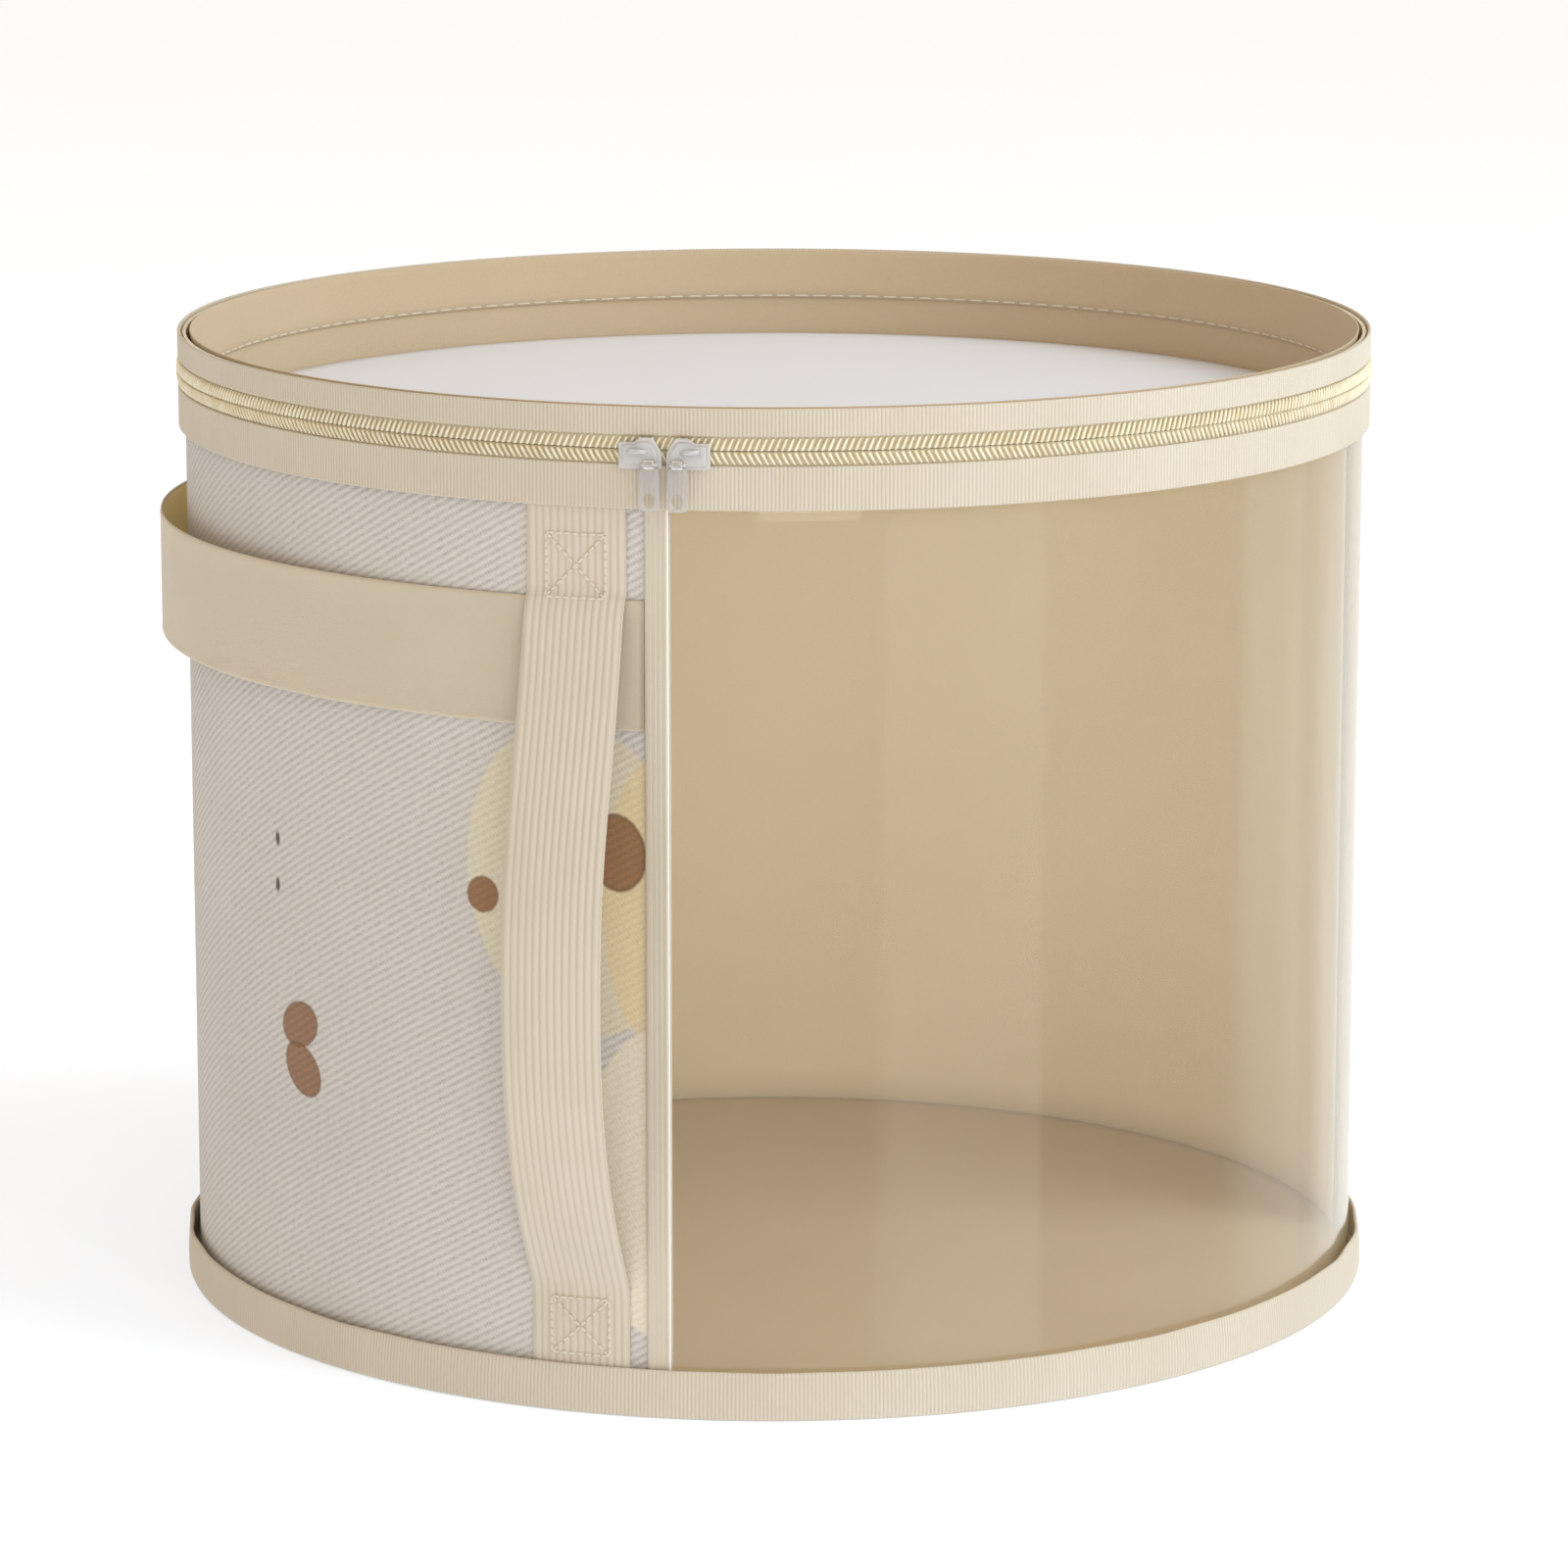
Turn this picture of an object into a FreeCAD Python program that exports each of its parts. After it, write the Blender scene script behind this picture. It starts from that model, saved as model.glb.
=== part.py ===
"""A soft-sided round hat box: a board-stiffened fabric drum with a clear window, a dished zip-round lid on a fabric
hinge at the back, a webbing grab handle up the front and a webbing band handle round the side.

Millimetres, +Z up, origin at the middle of the underside. Azimuths are in degrees about +Z from the front (-Y),
positive towards +X: 90 is the right side, 180 the back, -90 the left. The lid hinges at the back, along X, where the
outer face of the teeth meets the height chain_middle.
"""

import FreeCAD
import Part

import math
import os

# Overall size
height = 307.0  # floor to the top of the lid's rim
band_radius = 190.0  # outer face of the two top bands
wall_radius = 187.8  # outer face of the side fabric and of the window
base_band_radius = 191.6  # outer face of the binding round the base

# Base
fold_depth = 12.6  # how far the base binding folds under the box
fold_thickness = 0.8
base_band_height = 14.9
base_band_thickness = 1.2
base_board_thickness = 2.5
base_lining_thickness = 0.6

# Wall layers, from outside to inside
fabric_thickness = 0.6
film_thickness = 0.5
board_thickness = 0.8
lining_thickness = 0.5
layer_gap = 0.08  # air between two curved layers, so that they never share space
edge_gap = 0.2  # between the edges of neighbouring sheets
top_tuck = 7.2  # wall tucked up behind the body's top band
board_inset = 0.6  # degrees from the fabric's side edges to its board's

# Window and its seams
window_end = 105.9  # azimuth of the film's far edge; its near edge is window_start
window_start = -0.9
seam_lap = 1.1  # how far, in degrees, a seam's binding covers each panel's edge
seam_thickness = 0.8
seam_facing_thickness = 0.5
seam_tuck = 6.2  # binding tucked up behind the body's top band
seam_facing_drop = 1.8  # from the body's top band down to the facing

# Top bands and zipper
band_thickness = 1.0
body_band_bottom = 276.8
body_band_top = 290.1
lid_band_bottom = 298.7
tape_thickness = 0.5
tape_radius = 188.9  # outer face of the zipper tapes
tape_lap = 6.6  # tape hidden behind each band
tape_cover = 0.4  # how far a row of teeth reaches past its tape
body_hoop_recess = 1.6  # below the body's top edge
coil_radii = (189.0, 190.3)
coil_height = 3.7  # one row of teeth
chain_middle = 294.4  # height of the line where the two rows meet
row_gap = 0.8  # between the two rows
chain_end = 168.0  # azimuth where the teeth stop, each way from the front
stop_length = 1.4  # degrees of one metal end stop
stop_gap = 0.15  # degrees between the teeth and the stop, or the gusset
gusset_gap = 0.1  # from either half of the hinge gusset to the line where they meet

# Lid
hoop_radii = (187.3, 188.3)
hoop_recess = 0.8  # from either edge of the rim band, which leaves a groove between band and facing
rim_facing_bottom = 290.6
rim_facing_thickness = 0.6
facing_top_radius = 186.2
skirt_radius = 184.8  # outer face of the lid's skirt, inside the body's top edge
skirt_thickness = 0.7
skirt_top = 293.4
panel_top = 278.3
panel_cover_thickness = 0.6
panel_board_thickness = 1.4
panel_lining_thickness = 0.5
lid_stitch_height = 291.4

# Front handle: webbing sewn flat at both ends, bowed out between
front_handle_azimuth = -8.35
front_handle_width = 31.0
webbing_thickness = 1.0
webbing_radius = 188.4  # middle of webbing that lies on the wall
front_handle_ends = (3.0, 283.0)
bow_ends = (36.5, 252.5)
# (height, stand-off) of the bowed stretch
bow = [(44, 3.0), (52, 7.2), (64, 13.0), (77, 17.8), (90, 21.4), (106, 24.2), (125, 25.2), (145, 24.8), (164, 23.0),
       (183, 19.0), (201, 14.0), (218, 9.3), (232, 6.0), (241, 4.2), (245, 3.2), (248.7, 1.7)]
stitch_box_width = 18.4
stitch_box_heights = ((17.9, 35.3), (253.1, 268.6))
thread_width = 0.6
thread_depth = 0.3
thread_gap = 0.02  # under the thread, so that it never shares space with what it lies on

# Side handle: a webbing band round the left side
side_handle_heights = (210.2, 249.3)
side_handle_start = -2.15
side_handle_end = -171.0
side_handle_flat = 11.0  # degrees that lie on the wall at each end
side_handle_stand_off = 8.0
side_stitch_box = (-169.8, -165.2)  # azimuths of the box sewn at its rear end
side_stitch_inset = 4.0  # from the webbing's long edges

# Sliders and pulls
slider_azimuths = (0.2, 4.1)  # head and tail end of the right slider
slider_heights = (288.9, 298.3)
front_plate_radii = (190.6, 191.7)
back_plate_radii = (187.3, 188.1)
plate_corner = 1.4
tail_drop = 1.4  # the tail's upper edge is lower than the head's
shoulder_span = (6.6, 8.4)  # from the head end, where the upper edge slopes down to the tail's
throat_width = 2.6  # the head's upper corner is cut back, so that two sliders meet in a V
post_azimuths = (0.45, 1.6)
post_thickness = 0.5
root = 0.3  # how far a post or lug is buried in its plate
pull_azimuth = 1.25
pull_axis_radius = 193.3
pull_axis_height = 290.6
lug_gap = 3.7
lug_thickness = 0.7
lug_half_height = 0.9
bar_radius = 0.55
eye_radii = (0.75, 1.35)
eye_width = 3.1
pull_thickness = 1.1
pull_half_width = 3.3
pull_length = 14.0
pull_shoulder_drop = 2.8  # from the bar down to the shoulders
pull_waist = 2.9  # half its width at the shoulders
pull_corner = (1.6, 1.8)  # width and height cut off each lower corner
pull_hole = 1.3
pull_hole_rise = 3.3  # above the pull's lower edge

CENTRE = FreeCAD.Vector(0, 0, 0)
UP = FreeCAD.Vector(0, 0, 1)


def turned(shape, azimuth):
    return shape.rotated(CENTRE, UP, azimuth)


def ring(outline, start=0.0, end=360.0):
    """Turns a closed outline of (radius, height) corners about the box's axis, from one azimuth to another."""
    corners = [FreeCAD.Vector(0, -radius, z) for radius, z in outline]
    face = Part.Face(Part.makePolygon(corners + corners[:1]))
    return turned(face.revolve(CENTRE, UP, end - start), start)


def sleeve(inner, outer, low, high, start=0.0, end=360.0):
    return ring([(inner, low), (outer, low), (outer, high), (inner, high)], start, end)


def disc(radius, low, high):
    return Part.makeCylinder(radius, high - low, FreeCAD.Vector(0, 0, low))


def smooth_edge(points, first_direction, last_direction):
    """A smooth curve through the points. Its end directions are kept at unit length, because scaled ones make it
    ripple off its points near the last of them."""
    curve = Part.BSplineCurve()
    curve.interpolate(Points=points, InitialTangent=first_direction, FinalTangent=last_direction, Scale=False)
    return curve


def strip_face(route, thickness, plane_normal, first_direction, last_direction, lead_in=0.0, lead_out=0.0):
    """The edge-on outline of a thin strip that follows a smooth line, with a straight lead at either end."""
    line = smooth_edge(route, first_direction, last_direction)
    span = line.LastParameter - line.FirstParameter
    samples = 4 * len(route)
    sides = []
    for side in (0.5, -0.5):
        points = []
        for i in range(samples + 1):
            at = line.FirstParameter + span * i / samples
            sideways = line.tangent(at)[0].cross(plane_normal)
            points.append(line.value(at) + sideways * (side * thickness))
        sides.append(points)
    edges = []
    tips = []
    for points in sides:
        edges.append(smooth_edge(points, first_direction, last_direction).toShape())
        start, end = points[0] - first_direction * lead_in, points[-1] + last_direction * lead_out
        if lead_in:
            edges.append(Part.makeLine(start, points[0]))
        if lead_out:
            edges.append(Part.makeLine(points[-1], end))
        tips.append((start, end))
    edges += [Part.makeLine(tips[0][0], tips[1][0]), Part.makeLine(tips[0][1], tips[1][1])]
    return Part.Face(Part.Wire(Part.__sortEdges__(edges)))


def bar_on_wall(radius, low, high, shift, width, depth, lean=0.0):
    """A flat bar on the front of the box, leaning sideways by an angle about its own middle."""
    middle = FreeCAD.Vector(shift, -radius, (low + high) / 2)
    bar = Part.makeBox(width, depth, high - low, middle - FreeCAD.Vector(width / 2, depth, (high - low) / 2))
    return bar.rotated(middle, FreeCAD.Vector(0, 1, 0), lean)


def stitch_box(radius, low, high, width):
    """A sewn rectangle with its two diagonals, as raised thread on the front of the box."""
    tall, half = high - low, width / 2
    lean = math.degrees(math.atan2(width, tall))
    diagonal = math.hypot(width, tall)
    middle = (low + high) / 2
    bars = [bar_on_wall(radius, low, high, side * half, thread_width, thread_depth) for side in (-1, 1)]
    for z in (low, high):
        bars.append(bar_on_wall(radius, z - half, z + half, 0, thread_width, thread_depth, 90))
    for side in (-1, 1):
        ends = (middle - diagonal / 2, middle + diagonal / 2)
        bars.append(bar_on_wall(radius, *ends, 0, thread_width, thread_depth, side * lean))
    return bars[0].fuse(bars[1:]).removeSplitter()


# Base ---------------------------------------------------------------------------------------------------------------

base_board_top = fold_thickness + base_board_thickness
base_lining_top = base_board_top + base_lining_thickness
fold_inner = base_band_radius - fold_depth
fabric_inner = wall_radius - fabric_thickness
board_outer = fabric_inner - layer_gap
board_inner = board_outer - board_thickness
lining_outer = board_inner - layer_gap
lining_inner = lining_outer - lining_thickness
base_band_inner = base_band_radius - base_band_thickness


def base_parts():
    band = ring([(fold_inner, 0), (base_band_radius, 0), (base_band_radius, base_band_height),
                 (base_band_inner, base_band_height), (base_band_inner, fold_thickness),
                 (fold_inner, fold_thickness)])
    hoop_room = (webbing_radius + webbing_thickness / 2, base_band_inner)
    hoop_radius = sum(hoop_room) / 2
    hoop_section = (hoop_room[1] - hoop_room[0]) / 2 - layer_gap
    wire = Part.makeTorus(hoop_radius, hoop_section, FreeCAD.Vector(0, 0, fold_thickness + 2 * hoop_section))
    return {
        "base_fabric": disc(fold_inner - layer_gap, 0, fold_thickness),
        "base_board": disc(board_outer, fold_thickness, base_board_top),
        "base_lining": disc(lining_inner - layer_gap, base_board_top, base_lining_top),
        "base_band": band,
        "base_hoop": wire,
    }


# Wall ---------------------------------------------------------------------------------------------------------------

panel_gap = 0.1  # degrees between the film's edge and the fabric's
panel_start = window_end + panel_gap
panel_end = 360.0 + window_start - panel_gap
facing_bottom = base_lining_top + edge_gap


def wall_parts():
    board_span = (panel_start + board_inset, panel_end - board_inset)
    hidden_top = body_band_bottom + top_tuck
    binding_top = body_band_bottom + seam_tuck
    facing_top = body_band_bottom - seam_facing_drop
    seam_outer = wall_radius + layer_gap + seam_thickness
    facing_outer = lining_inner - layer_gap
    made = {
        "side_fabric": sleeve(fabric_inner, wall_radius, fold_thickness, hidden_top, panel_start, panel_end),
        "side_board": sleeve(board_inner, board_outer, base_board_top, body_band_bottom, *board_span),
        "side_lining": sleeve(lining_inner, lining_outer, base_board_top, body_band_bottom, *board_span),
        "window_film": sleeve(wall_radius - film_thickness, wall_radius, fold_thickness, hidden_top,
                              window_start, window_end),
    }
    for name, edge in (("front", window_start), ("rear", window_end)):
        span = (edge - seam_lap, edge + seam_lap)
        made[name + "_seam_binding"] = sleeve(wall_radius + layer_gap, seam_outer,
                                              fold_thickness, binding_top, *span)
        made[name + "_seam_facing"] = sleeve(facing_outer - seam_facing_thickness, facing_outer,
                                             facing_bottom, facing_top, *span)
    return made


# Top edge of the body -----------------------------------------------------------------------------------------------

body_row_top = chain_middle - row_gap / 2
lid_row_bottom = chain_middle + row_gap / 2
band_inner = band_radius - band_thickness
tape_radii = (tape_radius - tape_thickness, tape_radius)
hinge_span = (chain_end + stop_gap, 360 - chain_end - stop_gap)


def body_top_parts():
    hoop_heights = (body_band_bottom + edge_gap, body_band_top - body_hoop_recess)
    facing_outer = board_inner - layer_gap
    tape_foot = body_band_top - tape_lap
    row = (body_row_top - coil_height, body_row_top)
    stops = [sleeve(*coil_radii, *row, start, start + stop_length)
             for start in (chain_end + stop_gap, -chain_end - stop_gap - stop_length)]
    return {
        "body_top_band": sleeve(band_inner, band_radius, body_band_bottom, body_band_top),
        "body_top_hoop": sleeve(board_inner, board_outer, *hoop_heights),
        "body_top_facing": sleeve(facing_outer - lining_thickness, facing_outer, *hoop_heights),
        "body_zipper_tape": sleeve(*tape_radii, tape_foot, body_row_top - tape_cover, -chain_end, chain_end),
        "body_zipper_coil": sleeve(*coil_radii, *row, -chain_end, chain_end),
        "zipper_end_stops": Part.makeCompound(stops),
        "hinge_gusset_lower": sleeve(*tape_radii, tape_foot, chain_middle - gusset_gap, *hinge_span),
    }


# Lid ----------------------------------------------------------------------------------------------------------------

skirt_inner = skirt_radius - skirt_thickness
facing_foot = skirt_inner - layer_gap


def lid_parts():
    tape_top = lid_band_bottom + tape_lap
    board_top = panel_top - panel_cover_thickness
    board_bottom = board_top - panel_board_thickness
    lining_bottom = board_bottom - panel_lining_thickness
    panel_radius = skirt_inner - layer_gap
    rim_facing = [(facing_foot - rim_facing_thickness, rim_facing_bottom), (facing_foot, rim_facing_bottom),
                  (facing_foot, skirt_top), (facing_top_radius, height),
                  (facing_top_radius - rim_facing_thickness, height), (facing_foot - rim_facing_thickness, skirt_top)]
    stitch_radius = facing_foot - rim_facing_thickness - thread_depth / 2 - thread_gap
    row = (lid_row_bottom, lid_row_bottom + coil_height)
    return {
        "lid_rim_band": sleeve(band_inner, band_radius, lid_band_bottom, height),
        "lid_hoop": sleeve(*hoop_radii, lid_band_bottom + hoop_recess, height - hoop_recess),
        "lid_rim_facing": ring(rim_facing),
        "lid_skirt": sleeve(skirt_inner, skirt_radius, lining_bottom, skirt_top),
        "lid_panel_cover": disc(panel_radius, board_top, panel_top),
        "lid_panel_board": disc(panel_radius, board_bottom, board_top),
        "lid_panel_lining": disc(panel_radius, lining_bottom, board_bottom),
        "lid_stitching": Part.makeTorus(stitch_radius, thread_depth / 2, FreeCAD.Vector(0, 0, lid_stitch_height)),
        "lid_zipper_tape": sleeve(*tape_radii, lid_row_bottom + tape_cover, tape_top, -chain_end, chain_end),
        "lid_zipper_coil": sleeve(*coil_radii, *row, -chain_end, chain_end),
        "hinge_gusset_upper": sleeve(*tape_radii, chain_middle + gusset_gap, tape_top, *hinge_span),
    }


# Handles ------------------------------------------------------------------------------------------------------------


def front_handle():
    """Webbing curved to the wall across its width, and bowed out along its length."""
    low, high = bow_ends
    heights = [(low, 0.0)] + bow + [(high, 0.0)]
    route = [FreeCAD.Vector(0, -webbing_radius - stand_off, z) for z, stand_off in heights]
    leads = (low - front_handle_ends[0], front_handle_ends[1] - high)
    outline = strip_face(route, webbing_thickness, FreeCAD.Vector(1, 0, 0), UP, UP, *leads)
    spread = 2 * math.degrees(math.asin(front_handle_width / 2 / webbing_radius)) + 2
    swept = turned(outline.revolve(CENTRE, UP, spread), -spread / 2)
    reach = 2 * band_radius
    slab = Part.makeBox(front_handle_width, reach, height, FreeCAD.Vector(-front_handle_width / 2, -reach, 0))
    return turned(swept.common(slab), front_handle_azimuth)


def side_handle():
    """Webbing that lies on the wall at both ends and stands off between, wide enough for four fingers."""
    first, last = side_handle_start - side_handle_flat, side_handle_end + side_handle_flat
    steps = 36
    route = []
    for i in range(steps + 1):
        azimuth = side_handle_start + (side_handle_end - side_handle_start) * i / steps
        along = min(max((azimuth - first) / (last - first), 0.0), 1.0)
        radius = webbing_radius + side_handle_stand_off * math.sin(math.pi * along) ** 2
        turn = math.radians(azimuth)
        route.append(FreeCAD.Vector(radius * math.sin(turn), -radius * math.cos(turn), side_handle_heights[0]))
    directions = [FreeCAD.Vector(-math.cos(turn), -math.sin(turn), 0)
                  for turn in (math.radians(side_handle_start), math.radians(side_handle_end))]
    outline = strip_face(route, webbing_thickness, UP, *directions)
    return outline.extrude(UP * (side_handle_heights[1] - side_handle_heights[0]))


def handle_parts():
    thread_radius = webbing_radius + webbing_thickness / 2 + thread_gap
    front_boxes = [turned(stitch_box(thread_radius, low, high, stitch_box_width), front_handle_azimuth)
                   for low, high in stitch_box_heights]
    first, last = side_stitch_box
    width = 2 * webbing_radius * math.sin(math.radians(last - first) / 2)
    low, high = side_handle_heights
    side_box = turned(stitch_box(thread_radius, low + side_stitch_inset, high - side_stitch_inset, width),
                      (first + last) / 2)
    return {
        "front_handle": front_handle(),
        "front_handle_stitching": Part.makeCompound(front_boxes),
        "side_handle": side_handle(),
        "side_handle_stitching": side_box,
    }


# Sliders and pulls --------------------------------------------------------------------------------------------------


def slider():
    """The right-hand slider: two plates joined by a post between the rows, with lugs and a bar for its pull."""
    head, tail = slider_azimuths
    low, high = slider_heights
    middle = (low + high) / 2
    width = math.radians(tail - head) * band_radius
    head_x = math.radians(head) * band_radius
    tail_x = head_x + width
    cut = plate_corner / 2
    tail_top = high - tail_drop
    outline = [(head_x, low + cut), (head_x + cut, low), (tail_x - cut, low), (tail_x, low + cut),
               (tail_x, tail_top - cut), (tail_x - cut, tail_top), (head_x + shoulder_span[1], tail_top),
               (head_x + shoulder_span[0], high), (head_x + throat_width, high), (head_x, middle + cut)]
    corners = [FreeCAD.Vector(x, 0, z) for x, z in outline]
    prism = Part.Face(Part.makePolygon(corners + corners[:1])).extrude(FreeCAD.Vector(0, -2 * band_radius, 0))
    plates = [sleeve(*radii, low, high, head - 1, tail + 1).common(prism)
              for radii in (front_plate_radii, back_plate_radii)]
    post = sleeve(back_plate_radii[1] - root, front_plate_radii[0] + root, chain_middle - post_thickness / 2,
                  chain_middle + post_thickness / 2, *post_azimuths)
    lugs = []
    for side in (-1, 1):
        corner = FreeCAD.Vector(side * (lug_gap + lug_thickness) / 2 - lug_thickness / 2,
                                -pull_axis_radius - lug_half_height, pull_axis_height - lug_half_height)
        depth = pull_axis_radius + lug_half_height - front_plate_radii[1] + root
        lugs.append(turned(Part.makeBox(lug_thickness, depth, 2 * lug_half_height, corner), pull_azimuth))
    bar_length = lug_gap + lug_thickness
    bar_start = FreeCAD.Vector(-bar_length / 2, -pull_axis_radius, pull_axis_height)
    bar = Part.makeCylinder(bar_radius, bar_length, bar_start, FreeCAD.Vector(1, 0, 0))
    return plates[0].fuse([plates[1], post, *lugs, turned(bar, pull_azimuth)]).removeSplitter()


def pull():
    """The right-hand pull, hanging from its slider's bar by an eye."""
    axis = FreeCAD.Vector(0, -pull_axis_radius, pull_axis_height)
    sideways = FreeCAD.Vector(1, 0, 0)
    start = axis - sideways * (eye_width / 2)
    eye = Part.makeCylinder(eye_radii[1], eye_width, start, sideways)
    bottom = pull_axis_height - pull_length
    shoulder = pull_axis_height - pull_shoulder_drop
    neck = shoulder + pull_waist - eye_width / 2
    cut, rise = pull_corner
    half = [(eye_width / 2, pull_axis_height - eye_radii[0]), (eye_width / 2, neck), (pull_waist, shoulder),
            (pull_half_width, bottom + rise), (pull_half_width - cut, bottom)]
    outline = half + [(-x, z) for x, z in reversed(half)]
    corners = [FreeCAD.Vector(x, -pull_axis_radius + pull_thickness / 2, z) for x, z in outline]
    tab = Part.Face(Part.makePolygon(corners + corners[:1])).extrude(FreeCAD.Vector(0, -pull_thickness, 0))
    bore = Part.makeCylinder(eye_radii[0], eye_width + 2, start - sideways, sideways)
    hole = Part.makeCylinder(pull_hole, 4 * pull_thickness,
                             FreeCAD.Vector(0, -pull_axis_radius + 2 * pull_thickness, bottom + pull_hole_rise),
                             FreeCAD.Vector(0, -1, 0))
    return turned(eye.fuse(tab).cut(bore).cut(hole).removeSplitter(), pull_azimuth)


def slider_parts():
    right = {"slider": slider(), "pull": pull()}
    made = {}
    for name, shape in right.items():
        made[name + "_right"] = shape
        made[name + "_left"] = shape.mirror(CENTRE, FreeCAD.Vector(1, 0, 0))
    return made


os.makedirs("parts", exist_ok=True)
for group in (base_parts, wall_parts, body_top_parts, lid_parts, handle_parts, slider_parts):
    for node, shape in group().items():
        if not shape.isValid():
            raise RuntimeError(node + " is not a valid solid")
        shape.exportStep("parts/" + node + ".step")
        print(f"{node:24s} {len(shape.Solids)} solid(s) {shape.Volume / 1000:9.2f} cm3")
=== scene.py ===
"""The looks of a soft-sided round hat box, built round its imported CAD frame. Metres, +Z up, front at -Y.

Azimuths are in degrees about +Z from the front, positive towards +X. Every woven piece has a UV map in metres, u along
the cloth and v across it, which the ribs and the weave in its material follow.
"""

import math

import bpy
import numpy as np
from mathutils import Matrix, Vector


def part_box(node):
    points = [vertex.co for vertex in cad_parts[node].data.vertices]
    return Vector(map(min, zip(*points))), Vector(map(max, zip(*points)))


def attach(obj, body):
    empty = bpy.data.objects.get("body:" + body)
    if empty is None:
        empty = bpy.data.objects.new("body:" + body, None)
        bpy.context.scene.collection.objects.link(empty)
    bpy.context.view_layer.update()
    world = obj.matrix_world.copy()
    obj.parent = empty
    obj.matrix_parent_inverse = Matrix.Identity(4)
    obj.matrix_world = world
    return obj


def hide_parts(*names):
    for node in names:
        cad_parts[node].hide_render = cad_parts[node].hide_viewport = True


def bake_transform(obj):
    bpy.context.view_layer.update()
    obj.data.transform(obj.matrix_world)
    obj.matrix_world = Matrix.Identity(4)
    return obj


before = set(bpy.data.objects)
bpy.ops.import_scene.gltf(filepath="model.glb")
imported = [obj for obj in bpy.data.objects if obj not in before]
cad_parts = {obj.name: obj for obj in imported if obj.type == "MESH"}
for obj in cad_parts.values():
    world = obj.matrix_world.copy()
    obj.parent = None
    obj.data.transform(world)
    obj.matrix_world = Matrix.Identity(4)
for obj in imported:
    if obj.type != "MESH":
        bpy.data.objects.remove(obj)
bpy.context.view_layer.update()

MM = 0.001
UV_NAME = "cloth"


# Sizes: read from the frame where it has them -----

def heights(node):
    low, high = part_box(node)
    return low.z, high.z


def reach(node):
    """The largest radius of a node that goes most of the way round the box."""
    low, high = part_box(node)
    return max(high.x, -low.x, high.y, -low.y)


ALL_ROUND = (0, 360)
TOP_RADIUS = reach("lid_rim_band")
BASE_RADIUS = reach("base_band")
WALL_RADIUS = reach("side_fabric")
COIL_RADIUS = reach("body_zipper_coil")
CHAIN_MIDDLE = (heights("body_zipper_coil")[1] + heights("lid_zipper_coil")[0]) / 2
BAND_THICKNESS = 1.0 * MM
CLOTH_RADII = (WALL_RADIUS - 0.6 * MM, WALL_RADIUS)
FILM_RADII = (WALL_RADIUS - 0.5 * MM, WALL_RADIUS)
LINING_RADII = (185.74 * MM, 186.24 * MM)
FACING_RADII = (185.16 * MM, 185.66 * MM)
BINDING_RADII = (187.88 * MM, 188.68 * MM)
TAPE_RADII = (188.4 * MM, 188.9 * MM)
SKIRT_RADII = (184.1 * MM, 184.8 * MM)
WINDOW_SPAN = (-0.9, 105.9)
PANEL_SPAN = (-254.0, -1.0)
LINING_SPAN = (-253.4, -1.6)
ZIPPER_SPAN = (-168.0, 168.0)
HINGE_SPAN = (168.15, 191.85)
SEAM_LAP = 1.1


# Mesh helpers -----

def at(radius, azimuth, z):
    """Points on a cylinder about the box's axis; each argument may be an array."""
    turn = np.radians(azimuth)
    return np.stack(np.broadcast_arrays(radius * np.sin(turn), -radius * np.cos(turn), z), -1)


def outwards(azimuth):
    return at(1.0, azimuth, 0.0)


def unit(vectors):
    return vectors / np.linalg.norm(vectors, axis=1, keepdims=True)


def circle(sides):
    """The cosines and the sines of angles spaced evenly round a circle."""
    turn = 2 * np.pi * np.arange(sides) / sides
    return np.cos(turn), np.sin(turn)


def place(name, data):
    """A new object in the scene."""
    thing = bpy.data.objects.new(name, data)
    bpy.context.scene.collection.objects.link(thing)
    return thing


def make_piece(name, shape, material, body, slot, *nodes):
    """A smooth mesh piece that rides on a body in the place of some CAD nodes. shape is its verts, its faces and, for
    cloth, a UV pair for each corner of each face, in order."""
    verts, faces, uvs = shape
    mesh = bpy.data.meshes.new(name)
    mesh.from_pydata(np.asarray(verts).tolist(), [], faces)
    if uvs is not None:
        layer = mesh.uv_layers.new(name=UV_NAME)
        layer.data.foreach_set("uv", np.asarray(uvs, np.float32).ravel())
    mesh.polygons.foreach_set("use_smooth", [True] * len(mesh.polygons))
    mesh.materials.append(material)
    mesh.update()
    piece = place(name, mesh)
    if body:
        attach(piece, body)
    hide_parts(*nodes)
    return piece


def loft(sections, run, across, closed_run=False):
    """Closed cross-sections joined one to the next. sections is (n, m, 3); run has the length along the cloth at each,
    and one more where the run closes on itself; across has the m + 1 lengths round a section."""
    n, m, _ = sections.shape
    i = np.arange(n if closed_run else n - 1)[:, None]
    k = np.arange(m)[None, :]
    j, l = (i + 1) % n, (k + 1) % m
    faces = np.stack([i * m + k, j * m + k, j * m + l, i * m + l], -1).reshape(-1, 4).tolist()
    cloth = np.stack(np.meshgrid(run, across, indexing="ij"), -1)
    uvs = np.stack([cloth[:-1, :-1], cloth[1:, :-1], cloth[1:, 1:], cloth[:-1, 1:]], 2).reshape(-1, 2)
    if not closed_run:
        for row, order in ((0, range(m)[::-1]), (n - 1, range(m))):
            faces.append([row * m + c for c in order])
            uvs = np.vstack([uvs, cloth[row, order]])
    return sections.reshape(-1, 3), faces, uvs


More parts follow.
